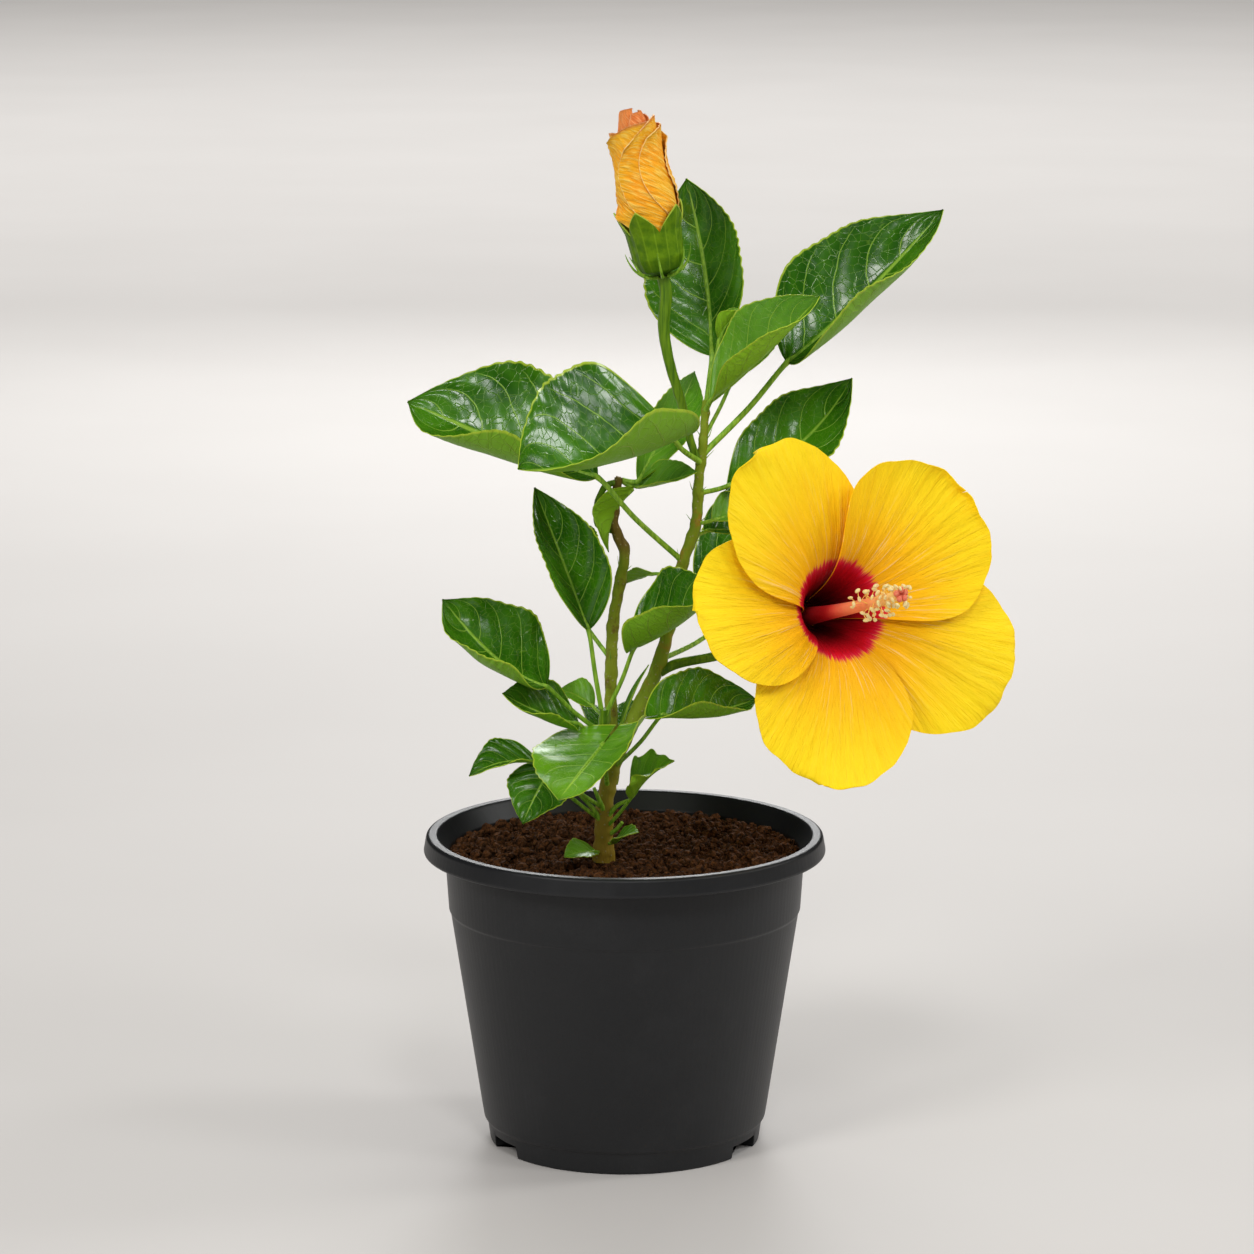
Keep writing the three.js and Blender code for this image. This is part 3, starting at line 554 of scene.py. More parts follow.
def rippled(u, v, width, seed):
    """How far the ripples and the sunken veins move the blade up, in millimetres."""
    side = np.abs(v)
    ripple = 0.024 * width * side ** 2 * np.sin(u * 15 + seed * 3 + np.sign(v) * 1.3) * np.sin(np.pi * u)
    veins = np.cos(2 * np.pi * (vein_count(u, side) + (v > 0) * VEIN_STAGGER))
    return ripple - 0.0012 * width * veins * np.minimum(side * 3, 1) * (1 - side) ** 0.5


def leaf_surface(base, blade, pose, u, v, teeth=0, depth=0.0, seed=0.0):
    length, width, heading, rise = blade
    roll, fold, curl, arch, twist, lobe, full = pose
    along, level = direction(heading, rise), direction(heading + 90, 0)
    over = np.cross(along, level)
    turn = np.radians(roll + twist * (u - 0.5))[:, None]
    across = level * np.cos(turn) + over * np.sin(turn)
    up = over * np.cos(turn) - level * np.sin(turn)
    share = outline(np.clip(u, 1e-4, 1 - 1e-4), full)
    half = np.maximum(width / 2 * share, 0.3)
    bend = np.radians(np.where(v > 0, curl[0], curl[1])) * share + 1e-3
    lift, side = math.radians(fold), np.abs(v)
    out = (np.sin(lift + bend * side) - math.sin(lift)) / bend
    high = (math.cos(lift) - np.cos(lift + bend * side)) / bend
    if teeth:
        out = out * toothed(u, side, teeth, depth, seed)
        high = high + rippled(u, v, width, seed) / half
    point = base + (length * (u - lobe * v * v * (1 - u) ** 2))[:, None] * along
    point += (np.sign(v) * out * half)[:, None] * across
    point += (high * half + arch * 4 * u * (1 - u))[:, None] * up
    return point


# %% [markdown]
# A leaf is a toothed blade with a round stalk. The stalk is swollen where it leaves the limb and again below
# the blade, sags a little on its way, and runs on under the blade as the raised midrib.

# %% Grow the leaves
BLADE_THICKNESS = 0.32
LARGE = 35


def stalk_radius(stalk, total, size):
    """The radius along a stalk and the rib that goes on from it."""
    joint = stalk / total

    def radius(share, turn):
        slim = np.where(share < joint, 1 - 0.15 * share / joint, 0.85 * (1 - share) / (1 - joint))
        foot = 0.35 * np.exp(-(share * total / 2.2) ** 2)
        neck = 0.22 * np.exp(-((share - joint) * total / 2.5) ** 2)
        return size * (slim + foot + neck) + 0.07

    return radius


def leaf(name, limb, at, stalk, blade, pose):
    foot = middle_at(LIMBS[limb], at)
    base = foot + direction(*stalk[1:]) * stalk[0]
    seed = sum(map(ord, name)) % 17
    teeth, depth = COARSE.get(name, (round(5 + blade[0] * 0.11), 0.02 + 0.7 / blade[1]))
    top = sheet("foliage_" + name, *((132, 20) if blade[0] > LARGE else (60, 12)))
    reshape(top, lambda x, y: leaf_surface(base, blade, pose, (x + 1) / 2, y, teeth, depth, seed))
    dress(top, *(YOUNG_LEAF if name in YOUNG else DARK_LEAF), thickness=BLADE_THICKNESS, angle=80)
    size = (1.2 + blade[0] * 0.014) / 2
    marks = np.array([0.04, 0.2, 0.45, 0.7, 0.9])
    rib = leaf_surface(base, blade, pose, marks, marks * 0)
    under = np.cross(direction(*blade[2:]), direction(blade[2] + 90, 0))
    sag = foot + (base - foot) * 0.55 - (0, 0, stalk[0] * 0.03)
    route = [foot, sag, base, *(rib - under * size * 0.3)]
    thickness = stalk_radius(stalk[0], stalk[0] + blade[0] * 0.9, size)
    return unite("foliage_" + name, [top, tube("stalk", route, thickness, STALK, sides=10, spacing=1.6)])


for name, measures in LEAVES.items():
    grown = leaf(name, *measures)
    if measures[0] != "side":
        settle(grown, "leaf", "leaf_" + name)

# %% [markdown]
# The stems themselves. The trunk and the right-hand stem are one living line, so one mesh replaces both
# nodes, and a ring swells at the height of each leaf. The old left stem ends in a dry cut, and its side shoot
# carries three pale leaves.

# %% Stems


def joints_on(limb):
    return [measures[1] for measures in LEAVES.values() if measures[0] == limb]


def stem_radius(route, sizes, joints, flare=0.0, uneven=1.0):
    heights = through(route)[:, 2]

    def radius(share, turn):
        z = np.interp(share, np.linspace(0, 1, len(heights)), heights)
        size = np.interp(share, np.linspace(0, 1, len(sizes)), sizes) / 2
        rings = sum(0.38 * np.exp(-((z - at) / 1.5) ** 2) for at in joints)
        wander = 0.12 * np.sin(z * 0.9 + turn) + 0.1 * np.sin(z * 0.37 + 2 * turn + 1)
        return size + rings * (0.7 + 0.3 * np.cos(turn)) + wander * uneven + flare * np.exp(-share * 24)

    return radius


def stem(name, route, sizes, joints, material, sides=24, spacing=1.2, root=(), **shape):
    """A stem. sizes are diameters along its route, and root is a point inside the limb that bears it."""
    return tube(name, [*root, *route], stem_radius(route, sizes, joints, **shape), material, sides, spacing)


def bark_relief(piece, depth):
    clouds = bpy.data.textures.new(piece.name, "CLOUDS")
    clouds.noise_scale, clouds.noise_depth = 1.6 * MM, 3
    modify(piece, "DISPLACE", texture=clouds, strength=depth * MM, mid_level=0.5)


main_route = TRUNK[:-1] + [(-5.0, -16.3, 168)] + RIGHT_STEM[1:]
main_sizes = (7.4, 7.1, 6.9, 6.6, 6.2, 5.8, 5.2, 5, 4.7, 4.4, 3.9, 2.6)
main_joints = joints_on("trunk") + joints_on("right") + [192, 236]
main_stem = stem("main_stem", main_route, main_sizes, main_joints, BARK, 40, 0.6, flare=1.3)
bark_relief(main_stem, 0.25)
settle(main_stem, "bark", "trunk", "right_stem")

old_sizes, old_joints = (5.6, 5.4, 5.2, 5, 4.7, 4.4, 3.6), (178, 196, 212, 231, 249, 262, 276)
old_stem = stem("old_stem", OLD_STEM, old_sizes, old_joints, OLD_BARK, 36, 0.6, [(-5.5, -16, 160)])
bark_relief(old_stem, 0.4)
cut = tube("cut", [(-2.75, -2.1, 289), (-2.5, -2, 290.0)], taper(1.4, 1.1), CUT_WOOD, spacing=0.2)
settle(unite("old_stem", [old_stem, cut]), "bark", "old_left_stem")

short_joints = joints_on("short") + [193.5]
short_shoot = stem("short_shoot_skin", SHORT_SHOOT, (4.6, 4.4, 4.4), short_joints, SHOOT, 28, 0.6,
                   [(-5.8, -16, 166)])
settle(short_shoot, "green_shoot", "short_shoot")

side_twig = stem("side_twig", SIDE_SHOOT, (2.6, 2.3, 2.4), (270, 286), SHOOT, 14)
side_leaves = [bpy.data.objects["foliage_" + name] for name in LEAVES if name.startswith("side_")]
settle(unite("side_shoot_leaves", [side_twig, *side_leaves]), "pale_leaf", "side_shoot")

# %% [markdown]
# At most joints a pair of stipules stands beside the leaf: thin green spikes, a few millimetres long, that
# point up the stem. Low on the trunk stand four stubs of stalks whose leaves were picked off.

# %% Stipules and stubs
STIPULE_HEIGHTS = {"right": (236, 255, 271, 284, 297, 307, 319), "short": (182, 190), "old": (212, 249)}
STUBS = (
    ((-10, -20, 144), (-13, -22, 150), (-19, -24, 157)), ((-9, -21, 150), (-11, -23, 155), (-13, -24, 160)),
    ((-7, -20, 147), (-3, -22, 152), (2, -23, 154.5)), ((-8, -19, 138), (-4, -22, 141), (-1, -24, 145)),
)
spikes = []
for limb, joints in STIPULE_HEIGHTS.items():
    for at in joints:
        foot = middle_at(LIMBS[limb], at)
        for heading in rng.uniform(0, 360) + np.array([0, 150]):
            reach, lean = rng.uniform(3.5, 7), rng.uniform(45, 75)
            tip = foot + direction(heading, lean) * reach + direction(heading, 0) * 2.2
            route = [foot + direction(heading, 0) * 1.2, foot + direction(heading, 30) * 3, tip]
            spikes.append(tube("spike", route, taper(0.32, 0.06), STALK, sides=6, spacing=1.0))
for stub in STUBS:
    spikes.append(tube("stub", stub, taper(1.15, 0.75), STALK, sides=10, spacing=1.0))
settle(unite("stipules", spikes), "green_shoot")

# %% [markdown]
# The flower's own frame: its axis leans to the right and a little up, and z runs along it towards the viewer.
# Petals are five sheets bent over one funnel. Each lies over its neighbour on one side and under it on the
# other, except the upper right one, which lies over both, and the right one, which lies under both.

# %% Flower frame and petal finish
FLOWER_PLACE = np.array([74.5, -22, 233])
YAW, LIFT = 28, 15
FACING = direction(YAW - 90, LIFT)
FLOWER_AXES = np.array([direction(YAW, 0), np.cross(FACING, direction(YAW, 0)), FACING])
CLAW, WIDEST, RIM = 6.0, 41.0, 78.0  # how far out the petal starts, is widest, and turns back
THROAT, SLOPE, FLARE = 42.0, 10.0, 4.5  # the funnel's depth, how fast it opens, and the turn of its rim
OVERLAP = 3.0
PETALS = (  # azimuth, reach, half width, tilt and bow of its edges
    (37, 72, 36.5, 0, 1.4), (-27, 81, 37, 0, -1.4), (-110, 75.5, 36, 1, 0),
    (176, 75, 31.5, 1, 0), (120, 78, 33.5, 1, 0),
)


def frame_at(place, axes):
    """Gives the rule that puts a piece's own x, y and z where it stands on the plant."""
    return lambda x, y, z: place + np.stack([x, y, z], -1) @ axes


to_flower = frame_at(FLOWER_PLACE, FLOWER_AXES)


def petal_finish(name, eye):
    """Yellow streaked petal skin. eye is how strongly the red of the throat shows in it."""
    finish = Finish(name, Specular_IOR_Level=0.12)
    out, around, _ = finish.parts(finish.place("UV"))
    around = around + (finish.noise(90.0, 3.0) - 0.5) * out * 0.012
    streaks = finish.noise(1.6, 5.0, 0.62, at=finish.joined(out * 1.6, around * 34.0))
    hairs = finish.noise(1.5, 4.0, 0.6, at=finish.joined(out * 2.2, around * 120.0, 3.0))
    soft = finish.noise(24.0, 2.0)
    veins = hairs.step(0.58, 0.66) * (1 - out.step(0.3, 0.72)) * out.step(0.16, 0.28)
    yellow = finish.layers(
        (0.98, 0.47, 0.0015), ((out + soft * 0.3).step(0.4, 1.05), (1.0, 0.72, 0.009)),
        (streaks.step(0.46, 0.74) * 0.28, (0.96, 0.47, 0.002)),
        (hairs.step(0.5, 0.8) * 0.25, (1.0, 0.76, 0.06)), (veins * 0.75, (0.98, 0.62, 0.24)))
    ragged = out + (streaks - 0.5) * 0.1 + (hairs - 0.5) * 0.06
    # The eye's red goes almost black deep in the throat: partly its own dark red, partly painted shade in the
    # funnel.
    red = finish.layers(
        (0.05, 0.0004, 0.001), (out.step(0.08, 0.27), (0.72, 0.001, 0.012)),
        (streaks.step(0.42, 0.7) * 0.45, (0.3, 0.0006, 0.006)),
        (ragged.step(0.215, 0.265) * 0.6, (0.85, 0.03, 0.1)))
    colour = finish.layers(yellow, ((1 - ragged.step(0.245, 0.275)) * eye, red))
    folds = finish.noise(1.5, at=finish.joined(out * 9.0, around * 52.0))
    return finish.wear(colour, streaks * 0.2 + 0.45, streaks * 0.9 + hairs * 0.45 + folds * 0.4, 0.0014)


PETAL = petal_finish("petal", 1.0), petal_finish("petal_back", 0.35)

# %% [markdown]
# The petal rule: a narrow claw in the throat, widest halfway out, then rounded off. The rim is frilled in
# long waves with small ones on them, and shallow folds run out along each petal. Each petal's UV map holds
# the distance from the flower's middle and the angle about it, so that the eye comes out round.

# %% Petals


def petal_surface(x, y, petal):
    """Gives a petal's points in millimetres, and their places in its UV map."""
    azimuth, reach, wide, tilt, bow = petal
    u = np.sin((x + 1) * np.pi / 4)
    along = 3 + (reach - 3) * u
    past = np.clip((along - WIDEST) / (reach - WIDEST), 0, 1)
    rising = np.sin(np.pi / 2 * np.minimum(1, along / WIDEST))
    aside = y * np.maximum(wide * rising * np.sqrt(1 - past ** 2), np.minimum(along, 17) * (1 - past) + 0.3)
    radius, angle = np.maximum(np.hypot(along, aside), CLAW), np.arctan2(aside, along)
    layer = OVERLAP * (tilt * y + bow * y * y) * (1 - np.exp((CLAW - 1 - radius) / 5))
    height = THROAT * (1 - np.exp((CLAW - 1 - radius) / SLOPE)) + FLARE * (radius / RIM) ** 3
    rim = (radius / reach) ** 4
    frill = 1.6 * rim * np.sin(6 * angle + reach) + 0.5 * rim * np.sin(19 * angle + reach * 3)
    folds = 0.4 * np.sin(34 * angle + reach) * np.sin(np.pi * np.clip(u * 1.1, 0, 1)) * (0.4 + 0.6 * u)
    folds += 0.16 * np.sin(83 * angle + 2 * reach) * u
    scallop = 1 + rim * (0.012 * np.sin(11 * angle + reach * 2) + 0.007 * np.sin(29 * angle + reach))
    turn = math.radians(azimuth)
    px, py = along * scallop, aside * scallop
    places = to_flower(px * math.cos(turn) - py * math.sin(turn), px * math.sin(turn) + py * math.cos(turn),
                       height + layer + frill + folds)
    return places, radius / 80, angle / np.pi + 0.5 + azimuth / 90


for number, petal in enumerate(PETALS, 1):
    piece = sheet(f"petal_{number}", 110, 90)
    lay_out(piece, lambda x, y: petal_surface(x, y, petal)[1:])
    reshape(piece, lambda x, y: petal_surface(x, y, petal)[0])
    dress(piece, *PETAL, thickness=0.4, angle=80)
    settle(piece, "petal", f"flower_petal_{number}")

# %% [markdown]
# The column in the flower's middle is the fused foot of all its stamens: wine red in the throat, then coral,
# then pale yellow. Its outer half bristles with fine threads, each with a kidney of cream pollen sacs, and
# five coral pads stand at its end. One thread with its sacs is modelled once, and each copy gets its own
# turn, lean and size.

# %% Column finishes


def column_finish():
    finish = Finish("column_skin", Subsurface_Weight=0.1, Subsurface_Scale=0.003)
    run = finish.parts(finish.place("UV"))[0]
    grain = finish.noise(700.0)
    tone = finish.layers(
        (0.2, 0.001, 0.004), ((run + grain * 0.06).step(0.06, 0.24), (0.78, 0.02, 0.025)),
        ((run + grain * 0.08).step(0.3, 0.62), (0.95, 0.3, 0.14)), (run.step(0.66, 0.98), (0.96, 0.62, 0.22)))
    return finish.wear(tone, grain * 0.2 + 0.35, grain, 0.0002)


def soft_finish(name, light, dark, scale=2500.0, depth=0.0006):
    finish = Finish(name, Subsurface_Weight=0.08, Subsurface_Scale=0.002)
    grain = finish.noise(scale)
    return finish.wear(finish.layers(light, (grain.step(0.3, 0.7), dark)), grain * 0.2 + 0.5, grain, depth)


THREAD = soft_finish("thread", (0.98, 0.7, 0.16), (0.95, 0.55, 0.1), 900.0, 0.0003)
POLLEN = soft_finish("pollen", (0.98, 0.88, 0.5), (0.93, 0.68, 0.2))
PAD = soft_finish("stigma_pad", (0.85, 0.13, 0.07), (0.95, 0.3, 0.16))

# %% Column, stamens and stigma
LENGTH, RISE, FIRST_STAMEN, STAMENS = 86.0, 1.5, 47.0, 64
GOLDEN_ANGLE = 137.5
column_route = ((0, 0, 1.6), (0, 0, LENGTH * 0.4), (0, RISE * 0.4, LENGTH * 0.75), (0, RISE, LENGTH - 4))


def column_radius(share, turn):
    return 2.1 + 1.4 * (1 - share) ** 1.5 + 1.2 * np.exp(-share * 9)


def blob(name, place, size, material, squash=(1, 1, 1)):
    """A small ball, dented on one side so that it is a kidney and not a bead."""
    piece = primitive("ico_sphere", name, subdivisions=2, radius=size * MM)
    for vertex in piece.data.vertices:
        x, y, z = vertex.co / (size * MM)
        dent = 1 - 0.45 * math.exp(-((x - 1) ** 2 + y ** 2) * 2)
        spot = Vector((x * squash[0] * dent, y * squash[1] * dent, z * squash[2])) * size
        vertex.co = (spot + Vector(place)) * MM
    piece.data.materials.append(material)
    bpy.ops.object.shade_smooth()
    return piece


column = tube("column", to_flower(*np.transpose(column_route)), column_radius, column_finish(), sides=24)
thread_route = ((0, 0, 0), (0, 0.5, 2.2), (0, 0.2, 4.4), (0, -0.5, 6))
thread = tube("thread", thread_route, taper(0.22, 0.16), THREAD, sides=6)
stamen = unite("stamen", [thread, blob("sacs", (0, -0.5, 6.4), 1.1, POLLEN, (0.7, 1.25, 0.75))])
pattern = np.array([vertex.co for vertex in stamen.data.vertices])
copies = []
for i in range(STAMENS):
    share = i / (STAMENS - 1)
    high = FIRST_STAMEN + (LENGTH - 5 - FIRST_STAMEN) * share ** 0.8
    spot = to_flower(0, RISE * 0.6 * (share + 0.25) ** 2, high)
    out = direction(i * GOLDEN_ANGLE + rng.uniform(-14, 14), rng.uniform(8, 36) + 30 * share ** 2)
    ahead = out @ FLOWER_AXES
    lean = np.cross(ahead, rng.normal(size=3))
    lean /= np.linalg.norm(lean)
    size = rng.uniform(0.82, 1.18)
    copy = stamen.copy()
    copy.data = stamen.data.copy()
    bpy.context.collection.objects.link(copy)
    turned = pattern @ np.array([np.cross(lean, ahead), lean, ahead]) * size
    copy.data.vertices.foreach_set("co", (turned + spot * MM).ravel())
    copies.append(copy)
bpy.data.objects.remove(stamen)
tip = to_flower(*column_route[-1])
for i in range(5):
    ahead = direction(i * 72 + 20, 45 + 6 * math.sin(i * 2.1)) @ FLOWER_AXES
    style_route = (tip - FACING * 2, tip + FACING * 0.6, tip + ahead * 2.6)
    copies.append(tube("style", style_route, taper(0.6, 0.5), PAD, sides=8))
    copies.append(blob("pad", tip + ahead * 3.0, 1.45, PAD))
settle(unite("column_and_stamens", [column, *copies]), "column", "flower_column")

# %% [markdown]
# A calyx is a cup of five pointed sepals. It is rolled from one sheet whose upper edge rises to a point five
# times round. Slender bracts stand round the foot of the bud's, and curl outwards.

# %% Calyces


def calyx_finish():
    finish = Finish("calyx", Specular_IOR_Level=0.12)
    u, v, _ = finish.parts(finish.place("UV"))
    ribs = abs((v * 15.0).fraction() - 0.5) * 2
    grain = finish.noise(260.0, 4.0)
    green = finish.layers(
        (0.06, 0.15, 0.0015), (grain.step(0.3, 0.7), (0.13, 0.25, 0.003)),
        (ribs.step(0.8, 1.0) * 0.35, (0.26, 0.42, 0.02)),
        ((1 - u.step(0.0, 0.35)) * 0.8, (0.03, 0.09, 0.003)), (u.step(0.975, 0.99), (0.36, 0.5, 0.05)))
    return finish.wear(green, grain * 0.2 + 0.4, grain * 0.6 + ribs * 0.5, 0.0007)


CALYX_SKIN = calyx_finish()
SEPALS = 5


def calyx(name, place, radius_at, depth, notch, turn=0.0):
    """place(x, y, z) puts the cup's own coordinates where it stands. radius_at(height) is its radius."""
    cup = sheet(name, 44, 120)

    def rule(x, y):
        level, azimuth = (x + 1) / 2, -(y + 1) * np.pi
        lobe = np.abs(((azimuth / (2 * np.pi) * SEPALS + 5.5 + turn) % 1) - 0.5) * 2
        height = depth * level * (1 - notch * level ** 2 * (1 - lobe ** 0.8))
        rib = -0.35 * np.cos(azimuth * SEPALS + turn * 2 * np.pi) * np.sin(np.pi * np.minimum(level * 1.2, 1))
        radius = radius_at(height) * np.minimum(1, level * 9) + rib + 0.9 * level ** 3 * (lobe - 0.4)
        return place(radius * np.sin(azimuth), -radius * np.cos(azimuth), height)

    reshape(cup, rule)
    close_up(cup, caps=False)
    return dress(cup, CALYX_SKIN, thickness=0.6)


# %% [markdown]
# The bud is a roll of five crumpled petals round a salmon core of three more. Each petal's free edge lies on
# its left-hand neighbour and slants up to the left, and its rim rises to the right, where the next one covers
# it. So every petal is its own sheet, wound round the bud's axis a little closer with every degree.

# %% Bud
BUD_PLACE, BUD_LEAN = np.array([16.0, -15, 376.2]), 11
BUD_AXES = np.array([direction(0, BUD_LEAN), (0, 1, 0), direction(180, 90 - BUD_LEAN)])
BUD_HEIGHTS = (1.6, 5, 10, 20, 25, 30, 37, 46, 55, 62, 67, 70, 71)
BUD_RADII = (3, 6, 8.6, 9.5, 11.2, 12.5, 12.9, 12.3, 11.5, 10.8, 8.6, 4.6, 3)
to_bud = frame_at(BUD_PLACE, BUD_AXES)


def bud_petal(x, y, heading, radii, rim, climb):
    """A wound petal. rim is the height of its free corner, and climb is how far its rim rises from there."""
    up, across = np.sin((x + 1) * np.pi / 4), (y + 1) / 2
    z = 5 + (rim + climb * np.sin(np.pi / 2 * np.minimum(1, across * 1.4)) - 5) * up
    slant = np.where(up < 0.77, 300 * np.clip(0.77 - up, 0, 0.45) ** 2, 520 * (up - 0.77) ** 2)
    azimuth = np.radians(heading + slant * (1 - 0.6 * across) + 150 * across)
    rows = 1.9 * z + 44 * across ** 1.4 + 1.2 * np.sin(azimuth * 3 + z * 0.3)
    crossing = np.sin(rows * 2.3 + 2 * np.sin(azimuth * 5)) * np.sin(z * 0.7 + heading)
    crinkle = 0.17 * np.sin(rows) + 0.11 * crossing
    waves = 0.4 * np.sin(z * 0.32 + heading) * np.sin(azimuth * 4 + heading)
    swell = 2.4 * np.exp(-((z - 28) / 3.0) ** 2 - ((np.degrees(azimuth) + 80) / 24) ** 2)
    flare = 1.5 * up ** 12
    free = np.clip(z / 8 - 2.4, 0, 1)
    lap = 0.5 + 0.4 * np.exp(-across * 14) - 1.9 * across
    radius = np.interp(z, *radii) + lap + (crinkle + waves + swell + flare) * free
    return to_bud(radius * np.sin(azimuth), -radius * np.cos(azimuth), z)


def bud_finish(name, light, body, deep, inner, rim):
    finish = Finish(name, Specular_IOR_Level=0.12)
    u, v, _ = finish.parts(finish.place("UV"))
    wrinkles = finish.noise(1.6, 5.0, 0.62, at=finish.joined(u * 30.0 + v * 15.0, v * 3.0))
    shade = finish.noise(60.0, 3.0)
    edge = u.step(0.98, 0.992).larger(1 - v.step(0.004, 0.01))
    # The crests of the wrinkles are painted lighter and their troughs deeper: painted highlight and painted
    # shade on the crumpled relief.
    skin = finish.layers(
        body, (shade.step(0.35, 0.7), deep), (wrinkles.step(0.46, 0.62) * 0.75, light),
        ((1 - wrinkles.step(0.3, 0.45)) * 0.5, deep), (u.step(0.84, 0.94) * v.step(0.15, 0.35) * 0.9, inner),
        (edge * 0.6, rim))
    return finish.wear(skin, wrinkles * 0.2 + 0.42, wrinkles, 0.0011)


SALMON = (0.93, 0.3, 0.07)
BUD_SKIN = bud_finish("bud_petal", (1.0, 0.68, 0.13), (1.0, 0.5, 0.02), (1.0, 0.36, 0.01), SALMON,
                      (1.0, 0.78, 0.34))
CORE_SKIN = bud_finish("bud_core", (0.98, 0.45, 0.17), SALMON, (0.85, 0.17, 0.03), SALMON, (1.0, 0.7, 0.4))
SLIM = np.array([1, 1, 1, 0.98, 0.95, 0.92, 0.9, 0.88, 0.88, 0.86, 0.84])
ROLL_RADII = (BUD_HEIGHTS[:9] + (62, 67), SLIM * (BUD_RADII[:9] + (11.1, 10.2)))
CORE_RADII = ((1.6, 20, 50, 62, 66, 69, 71.5), (1.5, 4, 6.6, 6.4, 5.2, 3.6, 1.7))
ROLL = ((-5, 59.5, 4), (-54, 56.5, 10.5), (-113, 59.5, 6), (62, 58, 5), (146, 58, 5))  # heading, rim, climb
CORE = ((-30, 69.5, 0.5), (95, 68, 0.5), (215, 71, 0.5))


def wound(name, petals, radii, skin, along, across):
    pieces = []
    for heading, rim, climb in petals:
        piece = sheet(name, along, across)
        reshape(piece, lambda x, y: bud_petal(x, y, heading, radii, rim, climb))
        pieces.append(dress(piece, skin, thickness=0.45, angle=80))
    return pieces


rolled = wound("roll", ROLL, ROLL_RADII, BUD_SKIN, 150, 46)
rolled += wound("core", CORE, CORE_RADII, CORE_SKIN, 90, 30)
settle(unite("bud", rolled), "bud", "bud_petals")

# %% Calyx cups and bracts
BRACTS = 7


def bud_cup(height):
    foot = 9 * np.sqrt(np.clip((height + 4) / 13, 0, 1))
    return np.maximum(foot, np.interp(height, BUD_HEIGHTS, BUD_RADII) * 1.035) + 2.0


def flower_cup(height):
    return CLAW - SLOPE * np.log(1 - (np.maximum(height, 0) + 3.9) / THROAT)


def bract_radius(share, turn):
    return 0.75 * (1 - share) ** 0.7 + 0.08


sepals = [calyx("sepals", to_bud, bud_cup, 30.0, 0.35, -0.17)]
for i in range(BRACTS):
    outwards = direction(i * 360 / BRACTS + 12, 0)[:2]
    steps = ((3.0, 0.4), (7.5, 1.2), (11.2, 4.2), (13.4, 8.5), (14.2 + i % 3, 12.0))
    route = [to_bud(*outwards * out, up) for out, up in steps]
    sepals.append(tube("bract", route, bract_radius, STALK, sides=8, spacing=1.0))
settle(unite("bud_sepals", sepals), "green_shoot", "bud_calyx")
settle(calyx("flower_sepals", to_flower, flower_cup, 22.0, 0.5), "green_shoot", "flower_calyx")

# %% [markdown]
# The flower's branch and the bud's stalk are green, jointed where they may later drop, and thicken towards
# what they carry.

# %% Branch and bud stalk
branch_route = FLOWER_BRANCH + [FLOWER_PLACE - FACING * 6, FLOWER_PLACE + FACING * 0.4]
flower_branch = stem("flower_stalk", branch_route, (3.8, 3.9, 4.2, 4.6, 5), [211], SHOOT, uneven=0.3)
settle(flower_branch, "green_shoot", "flower_branch")

stalk_route = BUD_STALK + [BUD_PLACE - BUD_AXES[2] * 7, BUD_PLACE + BUD_AXES[2] * 0.4]
bud_stalk = stem("bud_stem", stalk_route, (3.3, 3.6, 4.2, 4.9, 5.4), [327], SHOOT, uneven=0.3)
settle(bud_stalk, "green_shoot", "bud_stalk")

# %% [markdown]
# The pot is blow-moulded: one thin skin with a rolled lip, a stacking shoulder, a raised heel and a foot with
# four drain notches. The circle of its foot is extruded and resized, ring by ring, up the outside, over the
# lip and down the inside. Then the notches are cut out, and a bevel softens every ridge. Its 160 sides are
# too narrow to see, so it keeps flat shading, which no long face at a notch can smear.

# %% Pot
POT_PROFILE = [
    (57.8, 0), (58.3, 0.7), (59.5, 9), (60.9, 10.6), (61.7, 15.5), (74.9, 101.5), (75.6, 102.5),
    (77.2, 126.9), (85.9, 127.1), (86.3, 128), (85.2, 134.2), (84.2, 135), (80.8, 135), (80, 134.1),
    (75.3, 127.5), (73.7, 102.5), (59.8, 15.5), (56.8, 8), (46, 8), (42, 3.2), (20, 3.2),
]
NOTCH_SIZE = (0.018, 0.02, 0.011)


def raised(name, profile, sides):
    """Raises a closed body from a circle, extruded and resized to each radius and height of a profile."""
    radius, height = profile[0]
    piece = primitive("circle", name, vertices=sides, radius=radius * MM, location=(0, 0, height * MM))
    bpy.ops.object.transform_apply(location=True)
    with editing(piece):
        for wide, high in profile[1:]:
            scale = (wide / radius, wide / radius, 1)
            bpy.ops.mesh.extrude_region_move(TRANSFORM_OT_translate={"value": (0, 0, (high - height) * MM)})
            bpy.ops.transform.resize(value=scale, center_override=(0, 0, high * MM))
            radius, height = wide, high
        bpy.ops.mesh.select_all(action="SELECT")
        bpy.ops.mesh.fill_holes(sides=0)
        bpy.ops.mesh.normals_make_consistent(inside=False)
    return piece


def plastic_finish():
    finish = Finish("black_plastic", IOR=1.49, Specular_IOR_Level=0.32)
    flow = finish.noise(60.0, at=finish.drawn_up(0.12))
    grain = finish.noise(1400.0, 2.0)
    dust = finish.noise(16.0, 5.0, 0.7)
    black = finish.layers((0.011, 0.0118, 0.0132), (dust.step(0.45, 0.8), (0.017, 0.0178, 0.0195)))
    return finish.wear(black, dust * 0.14 + grain * 0.06 + 0.34, flow * 0.7 + grain * 0.12, 0.00025)


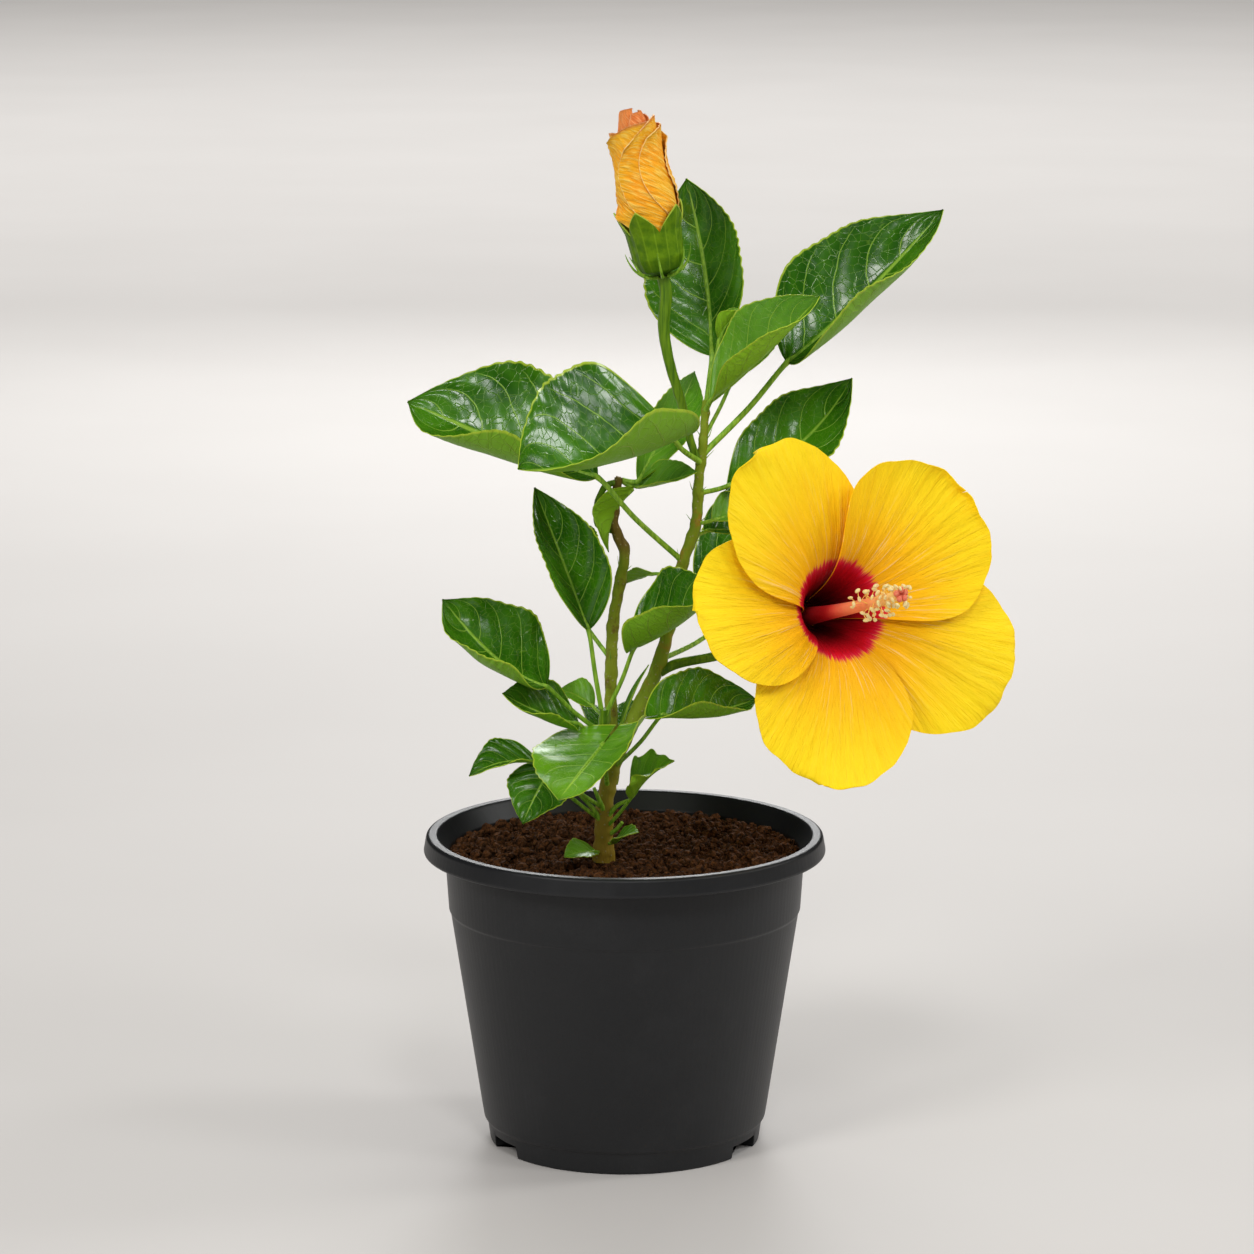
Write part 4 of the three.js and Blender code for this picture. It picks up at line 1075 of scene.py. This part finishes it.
pot = raised("pot_skin", POT_PROFILE, 160)
for azimuth in (28, 152, 208, 332):
    notch = primitive("cube", "notch", size=1, location=direction(azimuth, 0) * 57 * MM,
                      rotation=(0, 0, math.radians(azimuth)), scale=NOTCH_SIZE)
    modify(pot, "BOOLEAN", object=notch, operation="DIFFERENCE", solver="EXACT")
    bpy.data.objects.remove(notch)
modify(pot, "BEVEL", width=0.5 * MM, segments=3, use_clamp_overlap=False, limit_method="ANGLE",
       angle_limit=math.radians(25))
pot.data.materials.append(plastic_finish())
settle(pot, "pot", "pot")

# %% [markdown]
# The soil is dark peat: one closed body whose top heaves in low clumps, with loose crumbs of every size on
# it. A crumb is a ball with its corners knocked about. A few shapes are made once and laid out over the bed
# thousands of times. None is let into the pot's wall, so only small ones lie along it.

# %% Soil bed
SOIL_LEVEL, SOIL_RADIUS = 127.0, 75.2


def from_trunk(x, y):
    return np.hypot(x - TRUNK[0][0], y - TRUNK[0][1])


def soil_height(x, y):
    edge = 1 - np.minimum(np.hypot(x, y) / SOIL_RADIUS, 1) ** 6
    foot = 1 - np.exp(-(from_trunk(x, y) / 14) ** 4)
    waves = np.sin(x * 0.19 + 1) * np.cos(y * 0.16) + 0.6 * np.sin(x * 0.37 - y * 0.31 + 2)
    return SOIL_LEVEL - 0.4 + 1.6 * edge * foot * waves


def peat_finish():
    finish = Finish("peat", Specular_IOR_Level=0.15)
    clods = finish.cells(700.0)
    fibre_and_highlight = finish.noise(500.0, 8.0, 0.75)
    # The fibre is lighter than the near-black ground and stands raised in the bumps: partly the peat's own
    # light fibre and dark humus, partly a painted highlight on the raised fibre and painted shade in the
    # hollows between.
    brown = finish.layers((0.013, 0.0045, 0.0012), (fibre_and_highlight.step(0.35, 0.7), (0.14, 0.052, 0.014)),
                          (finish.noise(1500.0).step(0.68, 0.8) * 0.6, (0.3, 0.12, 0.03)))
    return finish.wear(brown, fibre_and_highlight * 0.2 + 0.75, fibre_and_highlight + clods * 0.6, 0.0012)


PEAT = peat_finish()
rings = [(60, 70.0), (72.9, 116), (74.8, 126.0)]
rings += [(radius, SOIL_LEVEL) for radius in np.linspace(SOIL_RADIUS, 1.2, 30)]
bed = raised("soil_bed", rings, 80)
with editing(bed):
    bpy.ops.mesh.select_mode(type="FACE")
for face in bed.data.polygons:
    face.select = face.center.z > (SOIL_LEVEL - 0.1) * MM
bpy.ops.object.mode_set(mode="EDIT")
bpy.ops.mesh.subdivide(number_cuts=3)
bpy.ops.mesh.select_mode(type="VERT")
bpy.ops.object.mode_set(mode="OBJECT")
places = np.array([vertex.co for vertex in bed.data.vertices]) / MM
top = places[:, 2] > SOIL_LEVEL - 0.1
lumps = np.array([noise.turbulence(Vector(p) * 0.24, 4, True) for p in places[top]])
places[top, 2] = soil_height(*places[top, :2].T) + (lumps - 0.6) * 4.0
bed.data.vertices.foreach_set("co", (places * MM).ravel())
settle(dress(bed, PEAT), "soil", "soil")

# %% Crumbs
CRUMBS, CRUMB_SHAPES = 6500, 6


def crumb_shape(seed):
    """The corners and faces of a ball with its corners knocked about, thinned to a few dozen faces."""
    crumb = primitive("ico_sphere", "crumb", subdivisions=2, radius=1)
    with editing(crumb):
        bpy.ops.transform.vertex_random(offset=0.22, uniform=0.4, seed=seed)
    modify(crumb, "DECIMATE", ratio=0.35)
    corners = np.array([vertex.co for vertex in crumb.data.vertices])
    faces = [tuple(face.vertices) for face in crumb.data.polygons]
    bpy.data.objects.remove(crumb)
    return corners, faces


shapes = [crumb_shape(seed) for seed in range(CRUMB_SHAPES)]
vertices, faces, first = [], [], 0
for i in range(CRUMBS):
    far, around = SOIL_RADIUS * 0.985 * math.sqrt(rng.uniform()), rng.uniform(0, 2 * math.pi)
    x, y = far * math.cos(around), far * math.sin(around)
    size = 0.32 + 2.1 * rng.uniform() ** 6 + 0.3 * rng.uniform()
    if from_trunk(x, y) < 6 or far + size > SOIL_RADIUS - 0.4:
        continue
    corners, sides = shapes[i % CRUMB_SHAPES]
    turn = np.linalg.qr(rng.normal(size=(3, 3)))[0]
    spread = rng.uniform(0.6, 1.3, 3)
    spot = (x, y, soil_height(x, y) + size * rng.uniform(0.1, 0.7))
    vertices.append((corners * spread) @ turn.T * size + spot)
    faces += [tuple(first + corner for corner in face) for face in sides]
    first += len(corners)
crumb_mesh = bpy.data.meshes.new("crumbs")
crumb_mesh.from_pydata((np.vstack(vertices) * MM).tolist(), [], faces)
crumb_mesh.materials.append(PEAT)
crumbs = bpy.data.objects.new("crumbs", crumb_mesh)
bpy.context.collection.objects.link(crumbs)
crumbs.select_set(True)
with editing(crumbs):
    bpy.ops.mesh.normals_make_consistent(inside=False)
settle(crumbs, "soil")
